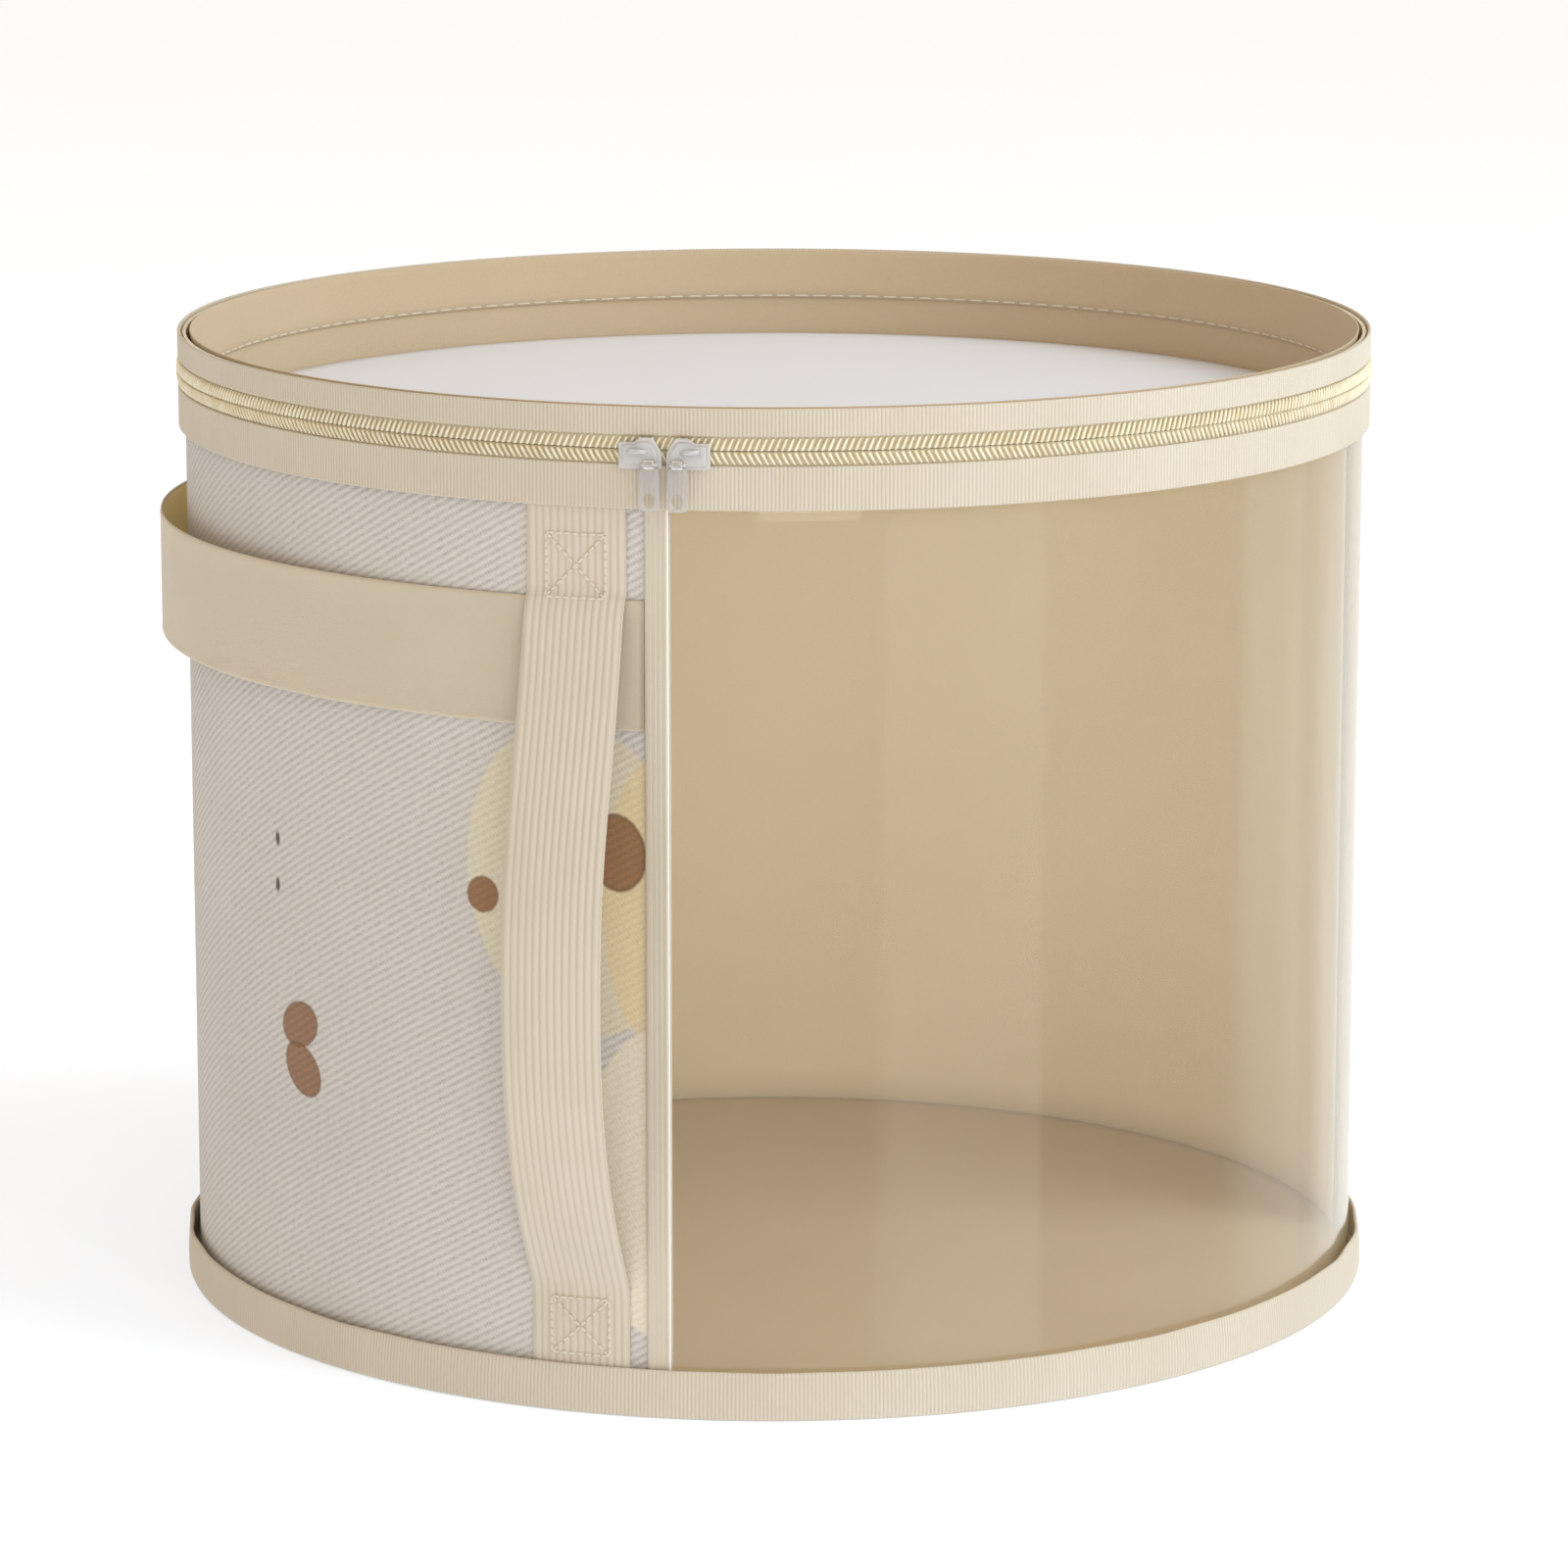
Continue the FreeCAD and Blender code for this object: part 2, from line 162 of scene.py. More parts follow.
def tube_faces(tubes, rows, sides):
    """The faces of closed tubes whose verts follow each other ring by ring."""
    faces = []
    for start in range(0, tubes * rows * sides, rows * sides):
        last = start + (rows - 1) * sides
        for ring in range(start, last, sides):
            for k in range(sides):
                l = (k + 1) % sides
                faces.append((ring + k, ring + l, ring + sides + l, ring + sides + k))
        faces += [tuple(range(start, start + sides))[::-1], tuple(range(last, last + sides))]
    return faces


def lengths(points, closed=True):
    points = np.asarray(points, float)
    if closed:
        points = np.vstack([points, points[:1]])
    return np.concatenate([[0], np.cumsum(np.linalg.norm(np.diff(points, axis=0), axis=1))])


def upright(inner, outer, low, high, levels, corner=0.3):
    """A thin upright cross-section as (radius, height), with rounded corners. Its outer face comes first, from the
    bottom up, with a point at each level, and its inner face has the same levels from the top down."""
    cut = (outer - inner) * corner
    rise = [low + cut, *levels, high - cut]
    points = [(outer, z) for z in rise] + [(outer - cut, high), (inner + cut, high)]
    points += [(inner, z) for z in rise[::-1]] + [(inner + cut, low), (outer - cut, low)]
    return np.array(points)


def ring_piece(name, profile, span, steps, shape, *looks):
    """Sweeps a (radius, height) cross-section about the axis from one azimuth to another. shape(radius, z, azimuth)
    returns changed radii for the whole grid. looks is what make_piece takes after the mesh."""
    azimuths = np.linspace(*span, steps + 1)
    grid = azimuths[:-1] if span == ALL_ROUND else azimuths
    radius = np.broadcast_to(profile[:, 0], (len(grid), len(profile)))
    z = np.broadcast_to(profile[:, 1], radius.shape)
    spread = np.broadcast_to(grid[:, None], radius.shape)
    if shape:
        radius = shape(radius, z, spread)
    run = np.radians(azimuths) * profile[:, 0].max()
    across = lengths(profile) + profile[0, 1]
    return make_piece(name, loft(at(radius, spread, z), run, across, span == ALL_ROUND), *looks)


def ring_sheet(name, node, radii, span, steps, rows, rests_on, *looks, slack=None, levels=None):
    """A sheet held upright round the box, with some rows of verts between its edges. slack(turn, height), in radians
    and as a share of the sheet's height, is how far it lies inside its radius."""
    low, high = levels or heights(node)
    profile = upright(*radii, low, high, np.linspace(low, high, rows + 2)[1:-1])

    def shape(r, z, azimuth):
        return r - slack(np.radians(azimuth), (z - low) / (high - low))

    piece = ring_piece(name, profile, span, steps, slack and shape, *looks, node)
    high - low
    return piece


def disc_sheet(name, node, swell, waves, material, body, slot, inset=0.0):
    """A round sheet with a rounded edge, in soft swells up to that height, which die out at the edge of a lid sheet.
    Its UVs are its own x and y."""
    rings, sides = 36, 180
    low, high = heights(node)
    low, high, radius = low + inset, high - inset, reach(node)
    grow = np.linspace(0, radius - (high - low) * 0.4, rings + 1)[1:]
    radii = np.array([*grow, radius, *grow[::-1]])
    levels = np.array([high] * rings + [(low + high) / 2] + [low] * rings)
    cos, sin = circle(sides)
    grid = np.stack([np.outer(radii, cos), np.outer(radii, sin), np.outer(levels, np.ones(sides))], -1)
    verts = np.vstack([(0, 0, high), grid.reshape(-1, 3), (0, 0, low)])
    x, y = verts[:, 0], verts[:, 1]
    lift = swell * np.maximum(0, sum(np.sin(a * x + b * y + c) for a, b, c in waves) / len(waves))
    verts[:, 2] += lift * (1 - (x * x + y * y) / radius ** 2) if body == "lid" else lift
    last = 1 + (len(radii) - 1) * sides
    faces = []
    for k in range(sides):
        l = (k + 1) % sides
        faces.append((0, 1 + k, 1 + l))
        faces += [(ring + k, ring + sides + k, ring + sides + l, ring + l) for ring in range(1, last, sides)]
        faces.append((last + k, len(verts) - 1, last + l))
    piece = make_piece(name, (verts, faces, verts[np.concatenate(faces)][:, :2]), material, body, slot, node)
    2 * radius
    2 * radius
    math.pi * radius ** 2


def smooth_path(points, steps):
    """A Catmull-Rom line through the points, with that many steps between each pair."""
    points = np.asarray(points, float)
    padded = np.vstack([2 * points[0] - points[1], points, 2 * points[-1] - points[-2]])
    out = []
    for a, b, c, d in zip(padded, padded[1:], padded[2:], padded[3:]):
        for t in np.arange(steps) / steps:
            out.append(0.5 * (2 * b + (c - a) * t + (2 * a - 5 * b + 4 * c - d) * t ** 2
                              + (3 * b - a - 3 * c + d) * t ** 3))
    return np.array(out + [points[-1]])


# Along a stitch: (share of its length, thickness)
STITCH_SHAPE = np.array([(0.0, 0.2), (0.05, 0.75), (0.2, 1.0), (0.5, 1.05), (0.8, 1.0), (0.95, 0.75), (1.0, 0.2)])
STITCH_SIDES = 6
STITCH_ARCH = 0.12
STITCH_RISE = 0.05


def threads(name, starts, ends, normals, radius, body, node):
    """Rounded threads, one from each start to each end, that arch off a surface with those normals."""
    along = ends - starts
    size = np.linalg.norm(along, axis=1, keepdims=True)
    along = along / size
    sideways = unit(np.cross(along, normals))
    up = np.cross(sideways, along)
    cos, sin = circle(STITCH_SIDES)
    ring = cos[:, None] * sideways[:, None] + sin[:, None] * up[:, None]
    blocks = []
    for share, fat in STITCH_SHAPE:
        lift = radius * (STITCH_RISE + STITCH_ARCH * math.sin(math.pi * share))
        middle = starts + along * size * share + up * lift
        blocks.append(middle[:, None] + fat * radius * ring)
    uvs = []
    for marks in STITCH_SHAPE[:, 0] * size:
        for u0, u1 in zip(marks, marks[1:]):
            for v0, v1 in ((k * radius, (k + 1) * radius) for k in range(STITCH_SIDES)):
                uvs += [(u0, v0), (u0, v1), (u1, v1), (u1, v0)]
        uvs += [(0.0, k * radius) for k in range(STITCH_SIDES)] * 2
    verts = np.stack(blocks, 1).reshape(-1, 3)
    faces = tube_faces(len(starts), len(STITCH_SHAPE), STITCH_SIDES)
    make_piece(name, (verts, faces, uvs), stitch_thread, body, "thread", node)


def dashes(points, normals, pitch, share=0.78):
    """Starts, ends and normals of stitches spaced evenly along a line."""
    where = lengths(points, closed=False)
    count = max(1, round(where[-1] / pitch))
    step = where[-1] / count
    first = (np.arange(count) + (1 - share) / 2) * step

    def pick(source, distance):
        return np.stack([np.interp(distance, where, source[:, k]) for k in range(3)], -1)

    return pick(points, first), pick(points, first + share * step), pick(normals, first)


# Material helpers -----

def colour(red, green, blue):
    """An sRGB colour, 0 to 255, as the linear RGBA that a shader takes."""
    def linear(value):
        value /= 255
        return value / 12.92 if value <= 0.04045 else ((value + 0.055) / 1.055) ** 2.4
    return (linear(red), linear(green), linear(blue), 1.0)


def arithmetic(operation):
    return lambda value, other: value.pattern.calc(operation, value, other)


class Value:
    """A number from a material's nodes. Each step of arithmetic on it is a Math node."""

    __add__, __sub__, __mul__ = arithmetic("ADD"), arithmetic("SUBTRACT"), arithmetic("MULTIPLY")
    __truediv__, __pow__ = arithmetic("DIVIDE"), arithmetic("POWER")

    def __init__(self, pattern, socket):
        self.pattern, self.socket = pattern, socket

    def __rsub__(self, other):
        return self.pattern.calc("SUBTRACT", other, self)


class Pattern:
    """A material and its node tree, with short calls for what woven and moulded patterns need."""

    def __init__(self, name, roughness=0.8, specular=0.3, sheen=0.0):
        self.material = bpy.data.materials.new(name)
        self.material.use_nodes = True
        self.tree = self.material.node_tree
        self.shader = self.tree.nodes["Principled BSDF"]
        self.fill(self.shader, Roughness=roughness, Specular_IOR_Level=specular, Sheen_Weight=sheen)

    def fill(self, node, **values):
        """Sets a node's inputs by name, to constants or to what other nodes give."""
        for name, value in values.items():
            self.set(node.inputs[name.replace("_", " ")], value)
        return node

    def add(self, kind, **values):
        return self.fill(self.tree.nodes.new("ShaderNode" + kind), **values)

    def set(self, socket, value):
        value = value.socket if isinstance(value, Value) else value
        if isinstance(value, bpy.types.NodeSocket):
            self.tree.links.new(value, socket)
        else:
            socket.default_value = value

    def calc(self, operation, *values):
        node = self.add("Math")
        node.operation = operation
        for socket, value in zip(node.inputs, values):
            self.set(socket, value)
        return Value(self, node.outputs[0])

    def uv(self):
        node, split = self.add("UVMap"), self.add("SeparateXYZ")
        node.uv_map = UV_NAME
        self.cloth = node.outputs[0]
        self.set(split.inputs[0], self.cloth)
        return Value(self, split.outputs[0]), Value(self, split.outputs[1])

    def wave(self, length, pitch):
        """From 0 to 1 and back, once each pitch; 0 where the length is a whole number of pitches."""
        return self.calc("SINE", length * (2 * math.pi / pitch) - math.pi / 2) * 0.5 + 0.5

    def noise(self, scale, detail=2.0, where=None):
        """Noise through the piece. scale is one number, or one for each axis."""
        source = where or self.add("TexCoord").outputs["Object"]
        if isinstance(scale, tuple):
            source, scale = self.add("Mapping", Vector=source, Scale=scale).outputs[0], 1.0
        return Value(self, self.add("TexNoise", Vector=source, Scale=scale, Detail=detail).outputs[0])

    def grain(self, along, across, detail=2.0):
        """Noise on the cloth, with one scale along it and one across it; uv() comes first."""
        return self.noise((along, across, 1), detail, self.cloth)

    def mix(self, share, a, b):
        node = self.add("Mix")
        node.data_type = "RGBA"
        self.set(node.inputs[0], share)
        self.set(node.inputs[6], a)
        self.set(node.inputs[7], b)
        return node.outputs[2]

    def step(self, value, low, high):
        """0 at low, 1 at high, smooth between; low may be above high."""
        node = self.add("MapRange", Value=value, From_Min=low, From_Max=high)
        node.interpolation_type = "SMOOTHSTEP"
        return Value(self, node.outputs[0])

    def finish(self, base, height=None, depth=0.1 * MM):
        self.fill(self.shader, Base_Color=base)
        if height is not None:
            self.fill(self.shader, Normal=self.add("Bump", Distance=depth, Height=height).outputs[0])
        return self.material


# Materials -----

CREAM = colour(208, 198, 181)
CREAM_DEEP = colour(180, 165, 140)
THREAD_CREAM = colour(230, 221, 202)
SELVEDGE_CREAM = colour(240, 236, 226)


def grosgrain(name, pitch, along_v=False, strength=0.55, selvedge=None):
    """Ribbed webbing: its ribs are in the mesh, and this has the shade between them and the yarns over them. Past
    selvedge, a distance across it, it is paler."""
    m = Pattern(name, roughness=0.72, specular=0.28, sheen=0.12)
    u, v = m.uv()
    rib, yarn = (v, u) if along_v else (u, v)
    crest = m.wave(rib, pitch)
    picks = m.wave(crest * (0.12 * MM) + yarn, 0.55 * MM)
    streak = m.grain(30, 900) if along_v else m.grain(900, 30)
    base = m.mix((1.0 - crest) ** 2.5 * strength, CREAM, CREAM_DEEP)
    base = m.mix(m.step(m.noise(22, 3.0), 0.35, 0.7) * 0.16, base, CREAM_DEEP)
    base = m.mix(m.step(streak, 0.5, 0.75) * 0.12, base, CREAM_DEEP)
    if selvedge:
        base = m.mix(m.step(v, selvedge, selvedge + 0.1 * MM), base, SELVEDGE_CREAM)
    return m.finish(base, picks * 0.35 + crest * 0.4, 0.08 * MM)


def plain_weave(name, light, deep, pitch=0.55 * MM, contrast=0.25, depth=0.06 * MM):
    """Closely woven cloth: yarns over and under each other, with soft thick and thin places."""
    m = Pattern(name, roughness=0.85, specular=0.2, sheen=0.1)
    u, v = m.uv()
    light, deep = colour(*light), colour(*deep)
    over = m.calc("ABSOLUTE", m.wave(u, 2 * pitch) - m.wave(v, 2 * pitch))
    slub = m.grain(400, 2500, 3.0)
    base = m.mix((1.0 - over) * contrast, light, deep)
    base = m.mix(m.step(slub, 0.45, 0.75) * 0.14, base, deep)
    base = m.mix(m.step(m.noise(14, 3.0), 0.4, 0.75) * 0.12, base, deep)
    return m.finish(base, slub * 0.3 + over, depth)


# Each colour of the print, and how much of it covers the cloth; the third is no print colour but painted light.
PRINT = {"pale": (colour(220, 208, 170), 0.55), "honey": (colour(222, 198, 150), 0.6),
         "painted_light": (colour(222, 212, 190), 0.9), "brown": (colour(139, 94, 56), 0.9), "dark": (colour(52, 42, 28), 0.9)}
PRINT_EDGE = colour(88, 62, 40)
REPEAT = 590.0
# Printed motifs as (colour, u, v, half width, half height, lean in degrees), in millimetres. The first come twice in
# each repeat of the print, half of it apart; the rest come once, most of them in the half that goes round the back.
# The pale patch at u -2, v 72 is no motif but painted light: it lightens the cloth in the handle's shade between the
# front handle and the front seam.
TWICE = [("pale", -28, 164, 36, 48, 8), ("brown", -136, 105, 9.6, 7.2, 20), ("brown", -134.6, 91, 10, 7.4, -35),
         ("brown", -59, 157, 5.4, 5.6, 0), ("dark", -146.8, 161.8, 1.15, 2.2, 4),
         ("dark", -147.1, 147.2, 1.15, 2.2, -3)]
ONCE = [("honey", -3, 158, 17, 44, 0), ("painted_light", -2, 72, 25, 48, 0), ("pale", -473, 196, 24, 30, -20),
        ("pale", -540, 96, 27, 22, 15), ("brown", -15.5, 173, 9, 12, 10), ("brown", -310.5, 166, 9, 9.5, 10),
        ("brown", -513, 214, 7, 5.6, 30), ("brown", -557, 152, 6.2, 7.6, -20), ("brown", -387, 46, 7.6, 6.2, 40),
        ("brown", -491, 60, 5.6, 7.2, 0), ("dark", -527, 128, 1.1, 2.2, 30), ("dark", -373, 104, 1.1, 2.2, -30),
        ("dark", -477, 122, 1.1, 2.2, 0), ("dark", -403, 226, 1.1, 2.2, 20)]


def printed_twill(name):
    """White twill with diagonal ribs and rounded motifs printed at a fixed repeat round the box; one patch is painted
    light.
    """
    m = Pattern(name, roughness=0.82, specular=0.22, sheen=0.15)
    u, v = m.uv()
    white, shade = colour(210, 204, 198), colour(152, 144, 135)
    pitch, climb = 2.25 * MM, math.radians(29.5)
    across = v * math.cos(climb) - u * math.sin(climb)
    along = u * math.cos(climb) + v * math.sin(climb)
    rib = m.wave(across + m.grain(60, 160) * (0.5 * MM), pitch)
    yarn = m.wave(rib * (0.3 * MM) + along, 1.1 * MM)
    relief = rib * 0.75 + yarn * 0.25
    broken = m.grain(420, 700) * 1.5 - 0.05
    base = m.mix((1.0 - relief) ** 1.5 * broken * 0.74, white, shade)
    base = m.mix(m.step(m.noise(10, 3.0), 0.4, 0.75) * 0.12, base, shade)
    bleed = m.grain(900, 900) * 0.12 - 0.06
    again = [(kind, middle - REPEAT / 2, *rest) for kind, middle, *rest in TWICE]
    for kind, middle_u, middle_v, wide, tall, lean in TWICE + again + ONCE:
        du = m.calc("FLOORED_MODULO", u - (middle_u - REPEAT / 2) * MM, REPEAT * MM) - REPEAT / 2 * MM
        dv = v - middle_v * MM
        cos, sin = math.cos(math.radians(lean)), math.sin(math.radians(lean))
        x = (dv * sin + du * cos) / (wide * MM)
        y = (dv * cos - du * sin) / (tall * MM)
        edge = m.calc("SQRT", x * x + y * y) + bleed * (4.0 / max(wide, 4.0))
        soft = 0.5 / min(wide, tall)
        paint, cover = PRINT[kind]
        if kind == "brown":
            paint = m.mix(m.step(edge, 0.86, 0.98) * 0.6, paint, PRINT_EDGE)
            paint = m.mix((1.0 - rib) * 0.25, paint, PRINT_EDGE)
        base = m.mix(m.step(edge, 1.0 + soft, 1.0 - soft) * cover, base, paint)
    specks = m.grain(700, 1500)
    base = m.mix(m.step(specks, 0.5, 0.7) * 0.16, base, shade)
    return m.finish(base, specks * 0.7 + relief, 0.16 * MM)


def smooth_webbing(name):
    """Flat tight-woven webbing, with rows of small picks that barely show. Its inner face is warmer, because the
    photograph shows light glowing between it and the wall."""
    m = Pattern(name, roughness=0.7, specular=0.3, sheen=0.15)
    u, v = m.uv()
    light, deep, painted_glow = colour(204, 192, 172), colour(186, 171, 146), colour(252, 226, 172)
    chevron = m.wave(v, 5.2 * MM) * (1.3 * MM)
    over = m.wave(u + chevron, 0.7 * MM) * m.wave(v, 0.65 * MM)
    base = m.mix((1.0 - over) * 0.28, light, deep)
    base = m.mix(m.step(m.noise(16, 3.0), 0.4, 0.7) * 0.2, base, deep)
    low, high = heights("side_handle")
    first, last = high + 1.1 * MM, 2 * high - low - 0.8 * MM
    # Painted light: the inner face, turned to the wall, is painted lighter and warmer than the outer face. It stands in
    # for light glowing between the webbing and the wall.
    inner_face = m.step(v, first, first + 0.5 * MM) * m.step(v, last, last - 0.5 * MM)
    m.fill(m.shader, Subsurface_Weight=0.35, Subsurface_Radius=(1.0, 0.75, 0.4), Subsurface_Scale=3 * MM)
    return m.finish(m.mix(inner_face, base, painted_glow), over, 0.05 * MM)


def clear_film(name):
    """Clear vinyl: see-through straight on, glossier and a little milky at a glancing angle, with faint scuffs."""
    m = Pattern(name)
    m.tree.nodes.remove(m.shader)
    clear = m.add("BsdfTransparent", Color=(0.985, 0.985, 0.975, 1.0))
    gloss = m.add("BsdfGlossy", Color=(0.93, 0.88, 0.8, 1.0), Roughness=0.06)
    milk = m.add("BsdfDiffuse", Color=colour(224, 213, 192))
    glance = Value(m, m.add("LayerWeight", Blend=0.5).outputs["Facing"])
    m.uv()
    scuffs = m.step(m.grain(18, 5, 4.0), 0.45, 0.8)
    creases = m.step(m.grain(17, 0.25, 0.0), 0.5, 0.54)
    haze = glance ** 4.0 * 0.34 + 0.01 + creases * 0.035 + scuffs * 0.02
    mirror = glance ** 5.0 * 0.8 + 0.03
    surface = clear.outputs[0]
    for share, layer in ((haze, milk), (mirror, gloss)):
        mixer = m.add("MixShader")
        m.set(mixer.inputs[0], share)
        m.set(mixer.inputs[1], surface)
        m.set(mixer.inputs[2], layer.outputs[0])
        surface = mixer.outputs[0]
    m.set(m.tree.nodes["Material Output"].inputs["Surface"], surface)
    return m.material


def moulded(name, light, deep, roughness, coat=0.0, transmission=0.0):
    """Moulded plastic: a cloudy colour, with fine flow marks and an uneven polish."""
    m = Pattern(name, roughness, specular=0.5)
    cloud = m.noise(260, 3.0)
    m.fill(m.shader, Coat_Weight=coat, Coat_Roughness=0.08, Transmission_Weight=transmission, IOR=1.46,
           Roughness=m.noise(900) * 0.14 + (roughness - 0.07))
    return m.finish(m.mix(m.step(cloud, 0.3, 0.75), colour(*light), colour(*deep)), cloud, 0.04 * MM)


def paperboard(name):
    m = Pattern(name, roughness=0.92, specular=0.15)
    fibres = m.noise((700, 700, 2600), 5.0)
    base = m.mix(fibres, colour(196, 178, 148), colour(160, 140, 110))
    base = m.mix(m.step(m.noise(1500), 0.62, 0.7) * 0.4, base, colour(110, 92, 70))
    return m.finish(base, fibres, 0.08 * MM)


def brushed_metal(name):
    m = Pattern(name, roughness=0.38, specular=0.5)
    m.fill(m.shader, Metallic=0.9)
    grain = m.noise((1500, 1500, 9000), 3.0)
    return m.finish(m.mix(grain, colour(206, 200, 188), colour(168, 160, 148)), grain, 0.02 * MM)


def twisted_thread(name):
    m = Pattern(name, roughness=0.6, specular=0.35, sheen=0.2)
    u, v = m.uv()
    twist = m.wave(u * 0.7 + v, 0.32 * MM)
    return m.finish(m.mix((1.0 - twist) * 0.4, THREAD_CREAM, CREAM_DEEP), twist, 0.05 * MM)


RIB_COUNT = 995
PALE_EDGE = math.radians(2 * SEAM_LAP) * BINDING_RADII[1] - 0.6 * MM

top_grosgrain = grosgrain("top_band_grosgrain", 2 * math.pi * TOP_RADIUS / RIB_COUNT)
base_grosgrain = grosgrain("base_band_grosgrain", 2 * math.pi * BASE_RADIUS / RIB_COUNT)
strap_grosgrain = grosgrain("strap_grosgrain", 2.4 * MM, along_v=True, strength=0.4)
binding_grosgrain = grosgrain("seam_grosgrain", 1.5 * MM, along_v=True, strength=0.5, selvedge=PALE_EDGE)
side_twill = printed_twill("printed_side_twill")
band_webbing = smooth_webbing("side_band_webbing")
window_vinyl = clear_film("window_vinyl")
wall_lining = plain_weave("wall_lining", (250, 236, 208), (240, 221, 188), contrast=0.1, depth=0.015 * MM)
floor_lining = plain_weave("floor_lining", (206, 184, 152), (182, 158, 124))
under_cloth = plain_weave("under_cloth", (214, 205, 186), (190, 178, 154), pitch=0.8 * MM, depth=0.1 * MM)
lid_cloth = plain_weave("lid_cloth", (224, 224, 228), (209, 208, 210), contrast=0.12, depth=0.03 * MM)
rim_cloth = plain_weave("rim_cloth", (200, 181, 152), (177, 155, 122), contrast=0.18, depth=0.04 * MM)
tape_cloth = plain_weave("tape_cloth", (226, 215, 186), (204, 190, 156), pitch=0.4 * MM)
tooth_nylon = moulded("tooth_nylon", (235, 226, 199), (221, 207, 173), 0.32, coat=0.3)
slider_resin = moulded("slider_resin", (246, 243, 240), (232, 229, 227), 0.14, coat=0.9, transmission=0.55)
pull_resin = moulded("pull_resin", (240, 236, 233), (226, 222, 220), 0.12, coat=0.9, transmission=0.8)
hoop_plastic = moulded("hoop_plastic", (228, 216, 190), (208, 194, 164), 0.45)
stitch_thread = twisted_thread("stitch_thread")
board_stock = paperboard("board_stock")
stop_alloy = brushed_metal("stop_alloy")


# Bands -----

RIB_CREST = np.array([0.0, 0.78, 1.0, 0.78])
RIB_DEPTH = 0.2 * MM
RIB_STEPS = RIB_COUNT * len(RIB_CREST)
SELVEDGE = 0.7 * MM


def ribbed(radius, low, high):
    """A shape function that cuts ribs into the outer face, fading to a plain selvedge at each edge."""
    def shape(r, z, azimuth):
        crest = np.resize(RIB_CREST, len(r))[:, None]
        edge = np.clip(np.minimum(z - low, high - z) / SELVEDGE, 0.15, 1.0)
        return r - np.where(r > radius - RIB_DEPTH, RIB_DEPTH * (1 - crest) * edge, 0.0)
    return shape


def band(name, body, node):
    low, high = heights(node)
    near, far = SELVEDGE * 0.8, SELVEDGE * 1.2
    profile = upright(TOP_RADIUS - BAND_THICKNESS, TOP_RADIUS, low, high,
                      (low + near, low + far, (low + high) / 2, high - far, high - near))
    ring_piece(name, profile, ALL_ROUND, RIB_STEPS, ribbed(TOP_RADIUS, low, high), top_grosgrain, body,
               "ribbed_webbing", node)


def base_webbing():
    """The binding round the base: folded under the box, and leaning in to the wall at its top edge, which gapes a
    little here and there."""
    low, high = heights("base_band")
    outer, inner, turn_under = BASE_RADIUS / MM, BASE_RADIUS / MM - 1.2, 179.0
    foot, top, fold = low / MM, high / MM, low / MM + 0.8
    full_lean, least_lean = 1.25, 0.15
    profile = MM * np.array([
        (outer, foot + 1.3), (outer, foot + 2.6), (outer, foot + 7), (outer, top - 2.4), (outer, top - 0.9),
        (outer, top - 0.4), (outer - 0.4, top), (inner + 0.4, top), (inner, top - 0.4), (inner, top - 2.4),
        (inner, foot + 7), (inner, foot + 1.4), (inner - 0.5, fold), (turn_under + 0.3, fold),
        (turn_under, foot + 0.4), (turn_under + 0.3, foot), (outer - 4, foot), (outer - 1.4, foot),
        (outer - 0.4, foot + 0.4)])
    cut_ribs = ribbed(BASE_RADIUS, low, high)

    def near(distance, width):
        return np.exp(-(distance / width) ** 2)

    def shape(r, z, azimuth):
        r = cut_ribs(r, z, azimuth)
        turn = np.radians(azimuth)
        gape = (0.5 + 0.5 * np.sin(9 * turn + 0.6)) * (0.5 + 0.5 * np.sin(31 * turn + 2.0 + np.sin(5 * turn)))
        sides = np.clip(near(azimuth - 285, 26) + 0.9 * near(azimuth - 78, 22), 0, 1)
        strap_foot = near((azimuth + 7 + 180) % 360 - 180, 7)
        lean = full_lean - 0.75 * gape * (1 - strap_foot) - 0.5 * sides - 0.15 * strap_foot
        rise = np.clip((z - low - 2 * MM) / (high - low - 2 * MM), 0, 1)
        drawn_in = np.clip(lean, least_lean, full_lean) * MM * rise ** 1.5
        bulge = 0.25 * MM * np.sin(np.pi * rise)
        return r + np.where(r > (inner - 0.1) * MM, bulge - drawn_in, 0.0)
    ring_piece("base_webbing", profile, ALL_ROUND, RIB_STEPS, shape, base_grosgrain, "body", "ribbed_webbing",
               "base_band")


band("body_top_webbing", "body", "body_top_band")
band("lid_rim_webbing", "lid", "lid_rim_band")
base_webbing()


# Wall and base -----

def cloth_slack(turn, height):
    waves = np.sin(7 * turn + 2.2 * height) * np.sin(np.pi * height) ** 0.5 + 0.5 * np.sin(17 * turn - 5 * height)
    return 0.05 * MM * (1 + waves) * np.sin(np.pi * height)


def lining_slack(turn, height):
    held = np.sin(np.pi * height)
    return 0.12 * MM * (1 + np.sin(11 * turn + 3 * height) * held) * held


def film_slack(turn, height):
    along = (np.degrees(turn) - WINDOW_SPAN[0]) / (WINDOW_SPAN[1] - WINDOW_SPAN[0])
    facets = np.sin(2 * np.pi * along * 6.5 + 0.5 * height) + 0.35 * np.sin(2 * np.pi * along * 15 + 2 * height)
    held = np.sin(np.pi * np.clip(along, 0, 1)) ** 0.4 * np.sin(np.pi * np.clip(height, 0, 1)) ** 0.4
    return 0.16 * MM * (1.35 + facets) * held


